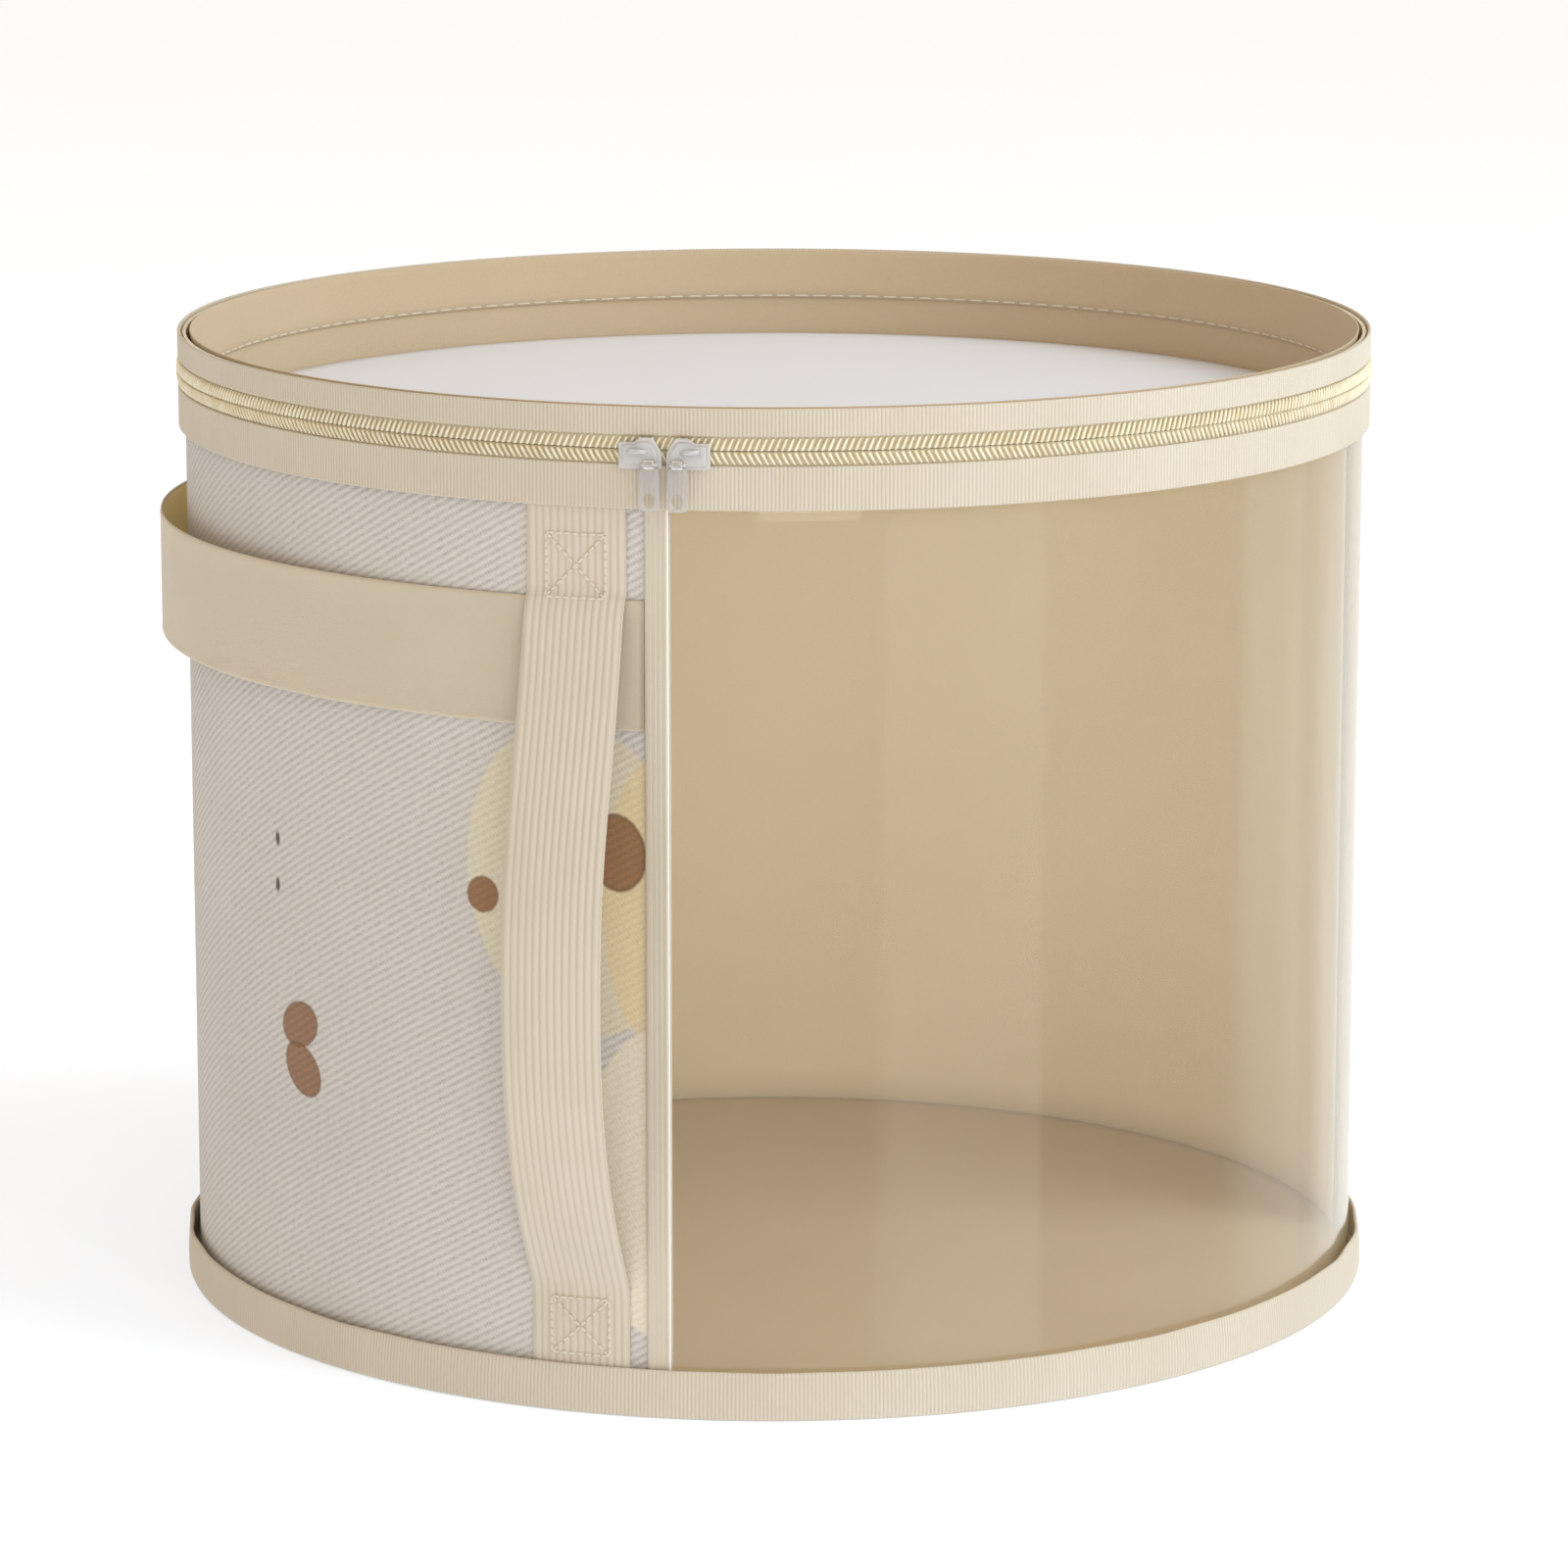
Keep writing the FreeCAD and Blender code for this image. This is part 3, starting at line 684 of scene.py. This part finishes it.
def seam_strip(name, node, azimuth, radii, ribs, slot):
    """A narrow woven strip up a seam, with lengthwise ribs and a plain selvedge down each side."""
    inner, outer = radii
    half = math.radians(SEAM_LAP) * outer
    edge, corner, groove, shoulder = 0.55 * MM, 0.1 * MM, 0.22 * MM, 0.02 * MM
    samples = 8 * ribs
    crest = np.abs(np.sin(np.pi * ribs * np.arange(samples + 1) / samples)) ** 0.6
    xs = np.array([-half, -half + corner, *np.linspace(-half + edge, half - edge, samples + 1), half - corner, half,
                   half, half - corner, -half + corner, -half])
    rs = np.array([outer - 0.25 * MM, outer - shoulder, *(outer - groove * (1 - crest)), outer - shoulder,
                   outer - 0.25 * MM, inner + corner, inner, inner, inner + corner])
    rows = np.linspace(*heights(node), 60)
    sections = np.stack([at(rs, azimuth + np.degrees(xs / outer), z) for z in rows])
    across = np.concatenate([xs[:samples + 5] + half, 2 * half + np.cumsum([0.4 * MM] * 4)])
    shape = loft(sections[:, ::-1], rows, np.append(across[::-1], across[-1] + 0.4 * MM))
    make_piece(name, shape, binding_grosgrain, "body", slot, node)


ring_sheet("side_cloth", "side_fabric", CLOTH_RADII, PANEL_SPAN, 360, 28, ["side_board", "body_top_hoop"],
           side_twill, "body", "side_fabric", slack=cloth_slack)
ring_sheet("wall_lining_cloth", "side_lining", LINING_RADII, LINING_SPAN, 300, 22, ["side_board"],
           wall_lining, "body", "lining", slack=lining_slack)
ring_sheet("window_vinyl_sheet", "window_film", FILM_RADII, WINDOW_SPAN, 320, 24, ["body_top_hoop", "base_board"],
           window_vinyl, "body", "clear_film", slack=film_slack)
for end, seam_azimuth in zip(("front", "rear"), WINDOW_SPAN):
    seam_strip(end + "_seam_webbing", end + "_seam_binding", seam_azimuth, BINDING_RADII, 4, "ribbed_webbing")
    seam_strip(end + "_seam_tape", end + "_seam_facing", seam_azimuth, FACING_RADII, 3, "lining")
disc_sheet("base_cloth", "base_fabric", 0.072 * MM, [(38, 21, 0.4), (-17, 44, 1.9)], under_cloth, "body",
           "base_fabric", inset=0.1 * MM)
disc_sheet("floor_cloth", "base_lining", 0.25 * MM, [(31, 17, 0.0), (-23, 35, 1.1), (9, -52, 2.0)], floor_lining,
           "body", "lining")
ring_sheet("body_top_facing_cloth", "body_top_facing", LINING_RADII, ALL_ROUND, 360, 4, ["body_top_hoop"],
           rim_cloth, "body", "lining")


# Lid -----

FACING_FOOT = 184.02 * MM
FACING_TOP = 186.2 * MM
FACING_THICKNESS = 0.6 * MM


def rim_facing():
    """The cloth inside the rim, which leans out from where the panel is sewn to it up to the rim's top."""
    low, top = heights("lid_rim_facing")
    turn_height = heights("lid_skirt")[1]
    rise = np.linspace(turn_height, top - 0.3 * MM, 7)
    lean = (FACING_TOP - FACING_FOOT) / (top - turn_height)
    outer = [(FACING_FOOT, low + 0.2 * MM)] + [(FACING_FOOT + lean * (z - turn_height), z) for z in rise]
    crown = [(FACING_TOP - 0.15 * MM, top), (FACING_TOP - FACING_THICKNESS + 0.15 * MM, top)]
    inner = [(r - FACING_THICKNESS, z) for r, z in outer[::-1]]
    profile = np.array(outer + crown + inner + [(FACING_FOOT - 0.3 * MM, low)])

    def shape(r, z, azimuth):
        height = np.clip((z - turn_height) / (top - turn_height), 0, 1)
        return r + 0.1 * MM * np.sin(13 * np.radians(azimuth) + 4 * height) * np.sin(np.pi * height)
    piece = ring_piece("lid_rim_cloth", profile, ALL_ROUND, 540, shape, rim_cloth, "lid", "rim_facing",
                       "lid_rim_facing")


def lid_stitches():
    azimuths = np.linspace(*ALL_ROUND, 721)
    line = at(FACING_FOOT - FACING_THICKNESS, azimuths, sum(heights("lid_stitching")) / 2)
    threads("lid_stitch_line", *dashes(line, -outwards(azimuths), 6.2 * MM), 0.3 * MM, "lid", "lid_stitching")


rim_facing()
ring_sheet("lid_skirt_cloth", "lid_skirt", SKIRT_RADII, ALL_ROUND, 360, 5, ["lid_panel_board", "lid_rim_cloth"],
           rim_cloth, "lid", "rim_facing")
disc_sheet("lid_panel_cloth", "lid_panel_cover", 0.22 * MM, [(22, 9, 0.3), (-12, 26, 1.4)], lid_cloth, "lid",
           "lid_fabric")
disc_sheet("lid_lining_cloth", "lid_panel_lining", -0.3 * MM, [(14, 27, 0.9), (-31, 12, 0.1)], wall_lining, "lid",
           "lining")
lid_stitches()


# Zipper -----

TOOTH_PITCH = 1.97 * MM
TOOTH_THICKNESS = 0.66 * MM
TOOTH_SIDES = 8
# Along a tooth: (lean, share of the row's width, stand-off in millimetres, thickness)
TOOTH_SHAPE = [(-0.05, 0.0, 0.05, 0.7), (0.0, 0.08, 0.1, 0.95), (0.22, 0.3, 0.04, 1.0), (0.6, 0.66, -0.02, 0.9),
               (1.0, 1.0, -0.3, 0.75)]
TAPE_PARTING = 0.2 * MM


def zipper_tape(body, webbing):
    node = body + "_zipper_tape"
    low, high = heights(node)
    if body == "body":
        high = CHAIN_MIDDLE - TAPE_PARTING / 2
    else:
        low = CHAIN_MIDDLE + TAPE_PARTING / 2
    ring_sheet(body + "_zipper_cloth", node, TAPE_RADII, ZIPPER_SPAN, 420, 5, [webbing], tape_cloth, body,
               "zipper_tape", levels=(low, high))


def teeth(body, slant):
    """One row of a coil zipper's turns: leaning loops, fat at the edge that meets the other row."""
    node = body + "_zipper_coil"
    low, high = heights(node)
    first, last = ZIPPER_SPAN
    count = int(math.radians(last - first) * COIL_RADIUS / TOOTH_PITCH)
    azimuths = first + (last - first) * (np.arange(count) + 0.5) / count
    width = (low if body == "body" else high) - CHAIN_MIDDLE
    cos, sin = circle(TOOTH_SIDES)
    blocks = []
    for lean, share, stand_off, fat in TOOTH_SHAPE:
        azimuth = azimuths + math.degrees(slant / COIL_RADIUS) * lean
        radius = COIL_RADIUS - 0.52 * MM + stand_off * MM
        middle = at(radius, azimuth, CHAIN_MIDDLE + width * (0.06 + 0.88 * share))
        side, out = outwards(azimuth + 90), outwards(azimuth)
        ring = 0.84 * cos[:, None] * side[:, None] + 0.9 * sin[:, None] * out[:, None]
        blocks.append(middle[:, None] + TOOTH_THICKNESS * fat * ring)
    faces = tube_faces(count, len(TOOTH_SHAPE), TOOTH_SIDES)
    if body == "body":
        faces = [face[::-1] for face in faces]
    shape = np.stack(blocks, 1).reshape(-1, 3), faces, None
    make_piece(body + "_teeth", shape, tooth_nylon, body, "zipper_coil", node)


def hinge_gusset():
    """One strip of cloth behind the end of the zipper, where the lid hinges."""
    lower, upper, bend = "hinge_gusset_lower", "hinge_gusset_upper", 3.4 * MM
    piece = ring_sheet("hinge_gusset_cloth", upper, TAPE_RADII, HINGE_SPAN, 60, 32,
                       ["body_top_webbing", "lid_rim_webbing"], tape_cloth, None, "zipper_tape", lower,
                       levels=(heights(lower)[0], heights(upper)[1]))
    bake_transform(piece)


zipper_tape("body", "body_top_webbing")
zipper_tape("lid", "lid_rim_webbing")
teeth("body", 1.9 * MM)
teeth("lid", 1.4 * MM)
hinge_gusset()


# Handles -----

WEBBING_RADIUS = 188.4 * MM
WEBBING_THICKNESS = 1.0 * MM
SEWN_RADIUS = WEBBING_RADIUS + WEBBING_THICKNESS / 2
STRAP_AZIMUTH = -8.35
STRAP_WIDTH = 31.0 * MM
STRAP_RIBS = 13
# (height, stand-off) of the strap's middle, in millimetres
STRAP_BOW = [(3, 0), (20, 0), (36.5, 0), (44, 3.0), (52, 7.2), (64, 13.0), (77, 17.8), (90, 21.4), (106, 24.2),
             (125, 25.2), (145, 24.8), (164, 23.0), (183, 19.0), (201, 14.0), (218, 9.3), (232, 6.0), (241, 4.2),
             (245, 3.2), (248.7, 1.7), (252.5, 0), (264, 0), (283, 0)]
BOX_THREAD = 0.43 * MM
STITCH_BOX_WIDTH = 18.4 * MM
STITCH_BOX_HEIGHTS = ((17.9 * MM, 35.3 * MM), (249.6 * MM, 268.6 * MM))
SIDE_BAND_SPAN = (-2.03, -171.0)
SIDE_BAND_OFF_WALL = (-13.15, -160.0)
SIDE_BAND_STAND_OFF = 8.0 * MM
SIDE_BAND_STITCHES = (-169.8, -165.2)
# Across the side band: (height over its lower edge in millimetres, thickness)
SIDE_BAND_SHAPE = np.array([(0.25, 0.7), (0.9, 1.0), (1.5, 0.78), (8, 0.8), (19.3, 0.8), (30.6, 0.8), (37.1, 0.78),
                            (37.7, 1.0), (38.35, 0.7)])


def strap(path):
    """The front handle: ribbed webbing that follows the wall across its width, and bows out along its length."""
    heading = unit(np.gradient(path, axis=0))
    half, thick = STRAP_WIDTH / 2, WEBBING_THICKNESS / 2
    edge, corner, shoulder, rim, rib_depth = 0.7 * MM, 0.2 * MM, 0.05 * MM, 0.1 * MM, 0.24 * MM
    samples = 6 * STRAP_RIBS
    groove = 1 - np.abs(np.sin(np.pi * STRAP_RIBS * np.arange(samples + 1) / samples)) ** 0.7
    outer_x = np.array([-half, -half + corner, *np.linspace(-half + edge, half - edge, samples + 1), half - corner,
                        half])
    outer_t = np.array([rim, thick - shoulder, *(thick - rib_depth * groove), thick - shoulder, rim])
    xs = np.concatenate([outer_x, outer_x[::-1]])
    ts = np.concatenate([outer_t, -outer_t[::-1]])
    sections = []
    for (z, stand_off), (rise, out) in zip(path, heading):
        radius = WEBBING_RADIUS + stand_off + ts * rise
        sections.append(at(radius, STRAP_AZIMUTH + np.degrees(np.arcsin(xs / radius)), z - ts * out))
    across = lengths(np.stack([xs, ts], -1)[::-1])
    # v is 0 where the ribs of the outer face start
    across -= across[2 * len(outer_x) - 3]
    shape = loft(np.array(sections)[:, ::-1], lengths(path, closed=False), across)
    make_piece("front_strap", shape, strap_grosgrain, "body", "handle_webbing", "front_handle")


def side_band():
    """The webbing band round the left side: flat on the wall at its ends, standing off between."""
    low, high = heights("side_handle")
    azimuths = np.linspace(*SIDE_BAND_SPAN, 300)
    first, last = SIDE_BAND_OFF_WALL
    along = np.clip((azimuths - first) / (last - first), 0, 1)
    middle = WEBBING_RADIUS + SIDE_BAND_STAND_OFF * np.sin(np.pi * along) ** 2
    levels = SIDE_BAND_SHAPE[:, 0] * MM + low
    swell = SIDE_BAND_SHAPE[:, 1]
    zs = np.array([*levels, high, high, *levels[::-1], low, low])
    ts = WEBBING_THICKNESS / 2 * np.array([*swell, 0.4, -0.4, *-swell[::-1], -0.4, 0.4])
    sections = np.array([at(r + ts, azimuth, zs) for r, azimuth in zip(middle, azimuths)])[::-1]
    run = lengths(at(middle, azimuths, low)[::-1], closed=False)
    shape = loft(sections, run, lengths(np.stack([ts, zs], -1)) + levels[0])
    make_piece("side_band", shape, band_webbing, "body", "side_handle_webbing", "side_handle")


def stitched_box(azimuth, radius, low, high, width, stand_off=lambda z: 0.0):
    """Stitches round a sewn rectangle and along its two diagonals. stand_off(z) is added to the radius."""
    half = math.degrees(width / 2 / radius)
    left, right = azimuth - half, azimuth + half
    corners = [(left, low), (left, high), (right, high), (right, low)]
    lines = list(zip(corners, corners[1:] + corners[:1])) + [(corners[0], corners[2]), (corners[1], corners[3])]
    parts = []
    for (a0, z0), (a1, z1) in lines:
        azimuths, zs = np.linspace(a0, a1, 24), np.linspace(z0, z1, 24)
        parts.append(dashes(at(radius + stand_off(zs), azimuths, zs), outwards(azimuths), 2.5 * MM, 0.84))
    return [np.vstack(column) for column in zip(*parts)]


def handle_stitches(path):
    """The boxes sewn at the strap's two ends, which follow its bow, and at the rear end of the side band."""
    ends = [stitched_box(STRAP_AZIMUTH, SEWN_RADIUS, low, high, STITCH_BOX_WIDTH,
                         lambda z: np.interp(z, path[:, 0], path[:, 1])) for low, high in STITCH_BOX_HEIGHTS]
    threads("front_strap_stitches", *[np.vstack(column) for column in zip(*ends)], BOX_THREAD, "body",
            "front_handle_stitching")
    (low, high), (start, end) = heights("side_handle"), SIDE_BAND_STITCHES
    box = stitched_box((start + end) / 2, SEWN_RADIUS - 0.1 * MM, low + 4 * MM, high - 4 * MM,
                       math.radians(end - start) * SEWN_RADIUS)
    threads("side_band_stitches", *box, BOX_THREAD, "body", "side_handle_stitching")


strap_path = np.maximum(smooth_path(np.array(STRAP_BOW) * MM, 10), 0.0)
strap(strap_path)
side_band()
handle_stitches(strap_path)


# Sliders and pulls -----

SLIDER_AZIMUTHS = (0.2, 4.1)
PULL_AZIMUTH = 1.25
PULL_AXIS_RADIUS = 193.3
PULL_AXIS_HEIGHT = 290.6


def plate(outlines, low, high, bevel):
    """Verts and faces of a flat plate with rounded edges, from closed outlines of (x, y), the first its rim and the
    rest its holes. Its thickness is along z."""
    curve = bpy.data.curves.new("plate_outline", "CURVE")
    curve.dimensions = "2D"
    curve.fill_mode = "BOTH"
    curve.extrude = max((high - low) / 2 - bevel, 0.0)
    curve.bevel_depth = bevel
    curve.bevel_resolution = 3
    curve.offset = -bevel
    for outline in outlines:
        spline = curve.splines.new("POLY")
        spline.points.add(len(outline) - 1)
        for point, (x, y) in zip(spline.points, outline):
            point.co = (x, y, 0, 1)
        spline.use_cyclic_u = True
    holder = place("plate_outline", curve)
    bpy.context.view_layer.update()
    mesh = bpy.data.meshes.new_from_object(holder.evaluated_get(bpy.context.evaluated_depsgraph_get()))
    verts = np.array([v.co[:] for v in mesh.vertices])
    verts[:, 2] += (low + high) / 2
    faces = [tuple(p.vertices) for p in mesh.polygons]
    bpy.data.objects.remove(holder)
    bpy.data.curves.remove(curve)
    bpy.data.meshes.remove(mesh)
    return verts, faces


def rounded(corners, radius, steps=5):
    """A closed outline with each corner cut by an arc of up to that radius."""
    corners = np.asarray(corners, float)
    out = []
    for i, point in enumerate(corners):
        before, after = corners[i - 1] - point, corners[(i + 1) % len(corners)] - point
        cut = min(radius, 0.45 * np.linalg.norm(before), 0.45 * np.linalg.norm(after))
        a = point + before / np.linalg.norm(before) * cut
        b = point + after / np.linalg.norm(after) * cut
        for t in np.linspace(0, 1, steps):
            out.append((1 - t) ** 2 * a + 2 * t * (1 - t) * point + t ** 2 * b)
    return out


def rod(points, steps, radius, sides=12):
    """Verts and faces of a round rod along a smooth line through some points, closed at its ends."""
    path = smooth_path(np.array(points) * MM, steps)
    heading = unit(np.gradient(path, axis=0))
    a = unit(np.cross(heading, (0.0, 1.0, 0.0)))
    b = np.cross(heading, a)
    cos, sin = circle(sides)
    rings = path[:, None] + radius * (cos[:, None] * a[:, None] + sin[:, None] * b[:, None])
    return rings.reshape(-1, 3), tube_faces(1, len(path), sides)


def joined(parts):
    verts, faces, count = [], [], 0
    for part_verts, part_faces in parts:
        verts.append(part_verts)
        faces += [tuple(i + count for i in face) for face in part_faces]
        count += len(part_verts)
    return np.vstack(verts), faces


def slider_parts():
    """The right slider: its two plates, the cap on the outer one, the post between them, the bar that holds the pull
    and the arch over its nose. They are made flat in millimetres (x along the zipper from the slider's head, y up, z
    outwards as a radius) and then wrapped round the box."""
    start, end = SLIDER_AZIMUTHS
    length = math.radians(end - start) * TOP_RADIUS / MM
    low, high = 288.9, 298.3
    middle = (low + high) / 2
    outline = np.array([(0.0, low + 0.4), (0.4, low), (length - 0.5, low), (length, low + 0.5), (length, high - 1.9),
                        (length - 0.5, high - 1.4), (8.4, high - 1.4), (6.6, high), (2.6, high), (0.0, middle + 0.4)])
    centre = np.array([length / 2, middle])
    cap = (outline - centre) * (0.8, 0.74) + centre
    post = np.array([(0.9, middle - 0.25), (4.5, middle - 0.25), (4.5, middle + 0.25), (0.9, middle + 0.25)])
    # (outline, corner radius, inner radius, outer radius, bevel)
    layers = [(outline, 0.6, 190.62, 191.66, 0.42), (cap, 0.9, 191.3, 192.25, 0.4), (outline, 1.5, 187.3, 188.1, 0.3),
              (post, 0.2, 187.9, 190.9, 0.1)]
    parts = [plate([rounded(rim * MM, corner * MM)], inner * MM, outer * MM, bevel * MM)
             for rim, corner, inner, outer, bevel in layers]
    x, y = math.radians(PULL_AZIMUTH - start) * TOP_RADIUS / MM, PULL_AXIS_HEIGHT
    half, foot, neck, crown = 2.15, 191.2, 192.3, PULL_AXIS_RADIUS
    bar = [(x - half, y, foot), (x - half, y, neck), (x - half * 0.86, y, crown), (x, y, crown),
           (x + half * 0.86, y, crown), (x + half, y, neck), (x + half, y, foot)]
    arch = [(x + 1.2, y + 3.4, 191.6), (x + 2.6, y + 3.6, 192.7), (x + 4.4, y + 3.7, 192.8), (x + 6.2, y + 3.7, 191.7)]
    verts, faces = joined(parts + [rod(bar, 5, 0.58 * MM), rod(arch, 6, 0.85 * MM)])
    x, y, z = verts.T
    return at(z, start + np.degrees(x / TOP_RADIUS), y), faces


def pull_parts():
    """The right pull: a flat tab with a hole, hanging from an eye. It is made flat in millimetres (x from its middle,
    y up, z outwards as a radius) and then turned to its azimuth."""
    top, foot = PULL_AXIS_HEIGHT, 276.6
    side = [(1.5, top - 0.3), (1.7, top - 0.9), (2.9, top - 1.1), (3.1, top - 5.0), (3.3, foot + 1.8),
            (2.6, foot + 0.2), (1.2, foot)]
    rim = np.array(side + [(-x, y) for x, y in side[::-1]])
    cos, sin = circle(20)
    hole = np.stack([1.6 * cos, foot + 3.4 + 2.1 * sin], -1)[::-1]
    tab = plate([rounded(rim * MM, 1.1 * MM, 6), hole * MM], 192.78 * MM, 193.82 * MM, 0.4 * MM)
    inner, outer, half = 0.78, 1.35, 1.55
    section = np.array([(outer, -half + 0.25), (outer, half - 0.25), (outer - 0.2, half), (inner + 0.1, half),
                        (inner, half - 0.15), (inner, -half + 0.15), (inner + 0.1, -half), (outer - 0.2, -half)])
    cos, sin = circle(24)
    r, x = section.T
    eye = np.stack(np.broadcast_arrays(x, PULL_AXIS_HEIGHT + sin[:, None] * r, PULL_AXIS_RADIUS + cos[:, None] * r), -1)
    verts, faces = joined([tab, loft(eye * MM, np.arange(len(eye) + 1), np.arange(len(section) + 1), True)[:2]])
    x, y, z = verts.T
    across, out = outwards(PULL_AZIMUTH + 90), outwards(PULL_AZIMUTH)
    return x[:, None] * across + y[:, None] * (0, 0, 1) + z[:, None] * out, faces


def add_sliders():
    kinds = (("slider", *slider_parts(), slider_resin), ("pull", *pull_parts(), pull_resin))
    for end, side in (("right", 1), ("left", -1)):
        for kind, verts, faces, resin in kinds:
            body = kind + "_" + end
            shape = verts * (side, 1, 1), [face[::side] for face in faces], None
            piece = make_piece(body + "_resin", shape, resin, body, "slider_resin", body)
            piece.modifiers.new("soften", "WEIGHTED_NORMAL").keep_sharp = True


add_sliders()


# CAD nodes that stay in view -----

for material, nodes in ((board_stock, ("base_board", "side_board", "lid_panel_board")),
                        (hoop_plastic, ("base_hoop", "body_top_hoop", "lid_hoop")),
                        (stop_alloy, ("zipper_end_stops",))):
    for node in nodes:
        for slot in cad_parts[node].material_slots:
            slot.material = material


# Stage, lights and camera -----

FLOOR_REACH = 14.0
FLOOR_GLOW = 0.44
ROOM_LIGHT = (0.71, 0.622, 0.52, 1.0)
LIT_HEIGHT = 0.15
# (name, azimuth, elevation, distance, size, power, tint)
LAMPS = [("key", 74, 32, 2.2, 1.6, 19, (0.78, 0.94, 1.09)), ("top", 84, 56, 2.2, 1.2, 11, (0.83, 0.95, 1.06)),
         ("front", 16, 5, 2.6, 0.9, 8, (0.97, 0.98, 1.0)), ("glint", 34, 36, 1.7, 0.07, 0.9, (1.0, 1.0, 1.0))]
CAMERA_AZIMUTH = 9.7
CAMERA_DISTANCE = 2.0957
CAMERA_HEIGHT = 0.5902
CAMERA_DIP = 11.70
CAMERA_PAN = -0.085
CAMERA_LENS = 151.65


def stage():
    mesh = bpy.data.meshes.new("studio_floor")
    corners = np.array([(-1, -1, 0), (1, -1, 0), (1, 1, 0), (-1, 1, 0)]) * FLOOR_REACH
    mesh.from_pydata(corners.tolist(), [], [(0, 1, 2, 3)])
    m = Pattern("studio_floor", roughness=0.9, specular=0.1)
    m.fill(m.shader, Emission_Color=(0.7, 0.84, 1.0, 1.0), Emission_Strength=FLOOR_GLOW)
    mesh.materials.append(m.finish(m.mix(m.noise(3.0), colour(248, 249, 251), colour(245, 246, 248))))
    place("studio_floor", mesh)


def lights():
    """Area lights that face the box, and room light that the camera sees as white."""
    for name, azimuth, elevation, distance, size, power, tint in LAMPS:
        light = bpy.data.lights.new(name, "AREA")
        light.size, light.energy, light.color = size, power, tint
        lamp = place(name, light)
        rise = math.radians(elevation)
        lamp.location = at(distance * math.cos(rise), azimuth, distance * math.sin(rise) + LIT_HEIGHT)
        lamp.rotation_euler = (math.pi / 2 - rise, 0, math.radians(azimuth))
    world = bpy.data.worlds.new("studio")
    world.use_nodes = True
    tree = world.node_tree
    room, seen = tree.nodes["Background"], tree.nodes.new("ShaderNodeBackground")
    room.inputs["Color"].default_value = ROOM_LIGHT
    seen.inputs["Color"].default_value = (1, 1, 1, 1)
    path, either = tree.nodes.new("ShaderNodeLightPath"), tree.nodes.new("ShaderNodeMixShader")
    tree.links.new(path.outputs["Is Camera Ray"], either.inputs[0])
    tree.links.new(room.outputs[0], either.inputs[1])
    tree.links.new(seen.outputs[0], either.inputs[2])
    tree.links.new(either.outputs[0], tree.nodes["World Output"].inputs["Surface"])
    bpy.context.scene.world = world


def camera():
    data = bpy.data.cameras.new("camera")
    data.lens = CAMERA_LENS
    data.sensor_width = 36
    data.clip_end = 100
    view = place("camera", data)
    view.location = at(CAMERA_DISTANCE, CAMERA_AZIMUTH, CAMERA_HEIGHT)
    view.rotation_euler = (math.radians(90 - CAMERA_DIP), 0, math.radians(CAMERA_AZIMUTH + CAMERA_PAN))
    bpy.context.scene.camera = view


stage()
lights()
camera()
bpy.context.scene.view_settings.view_transform = "Standard"
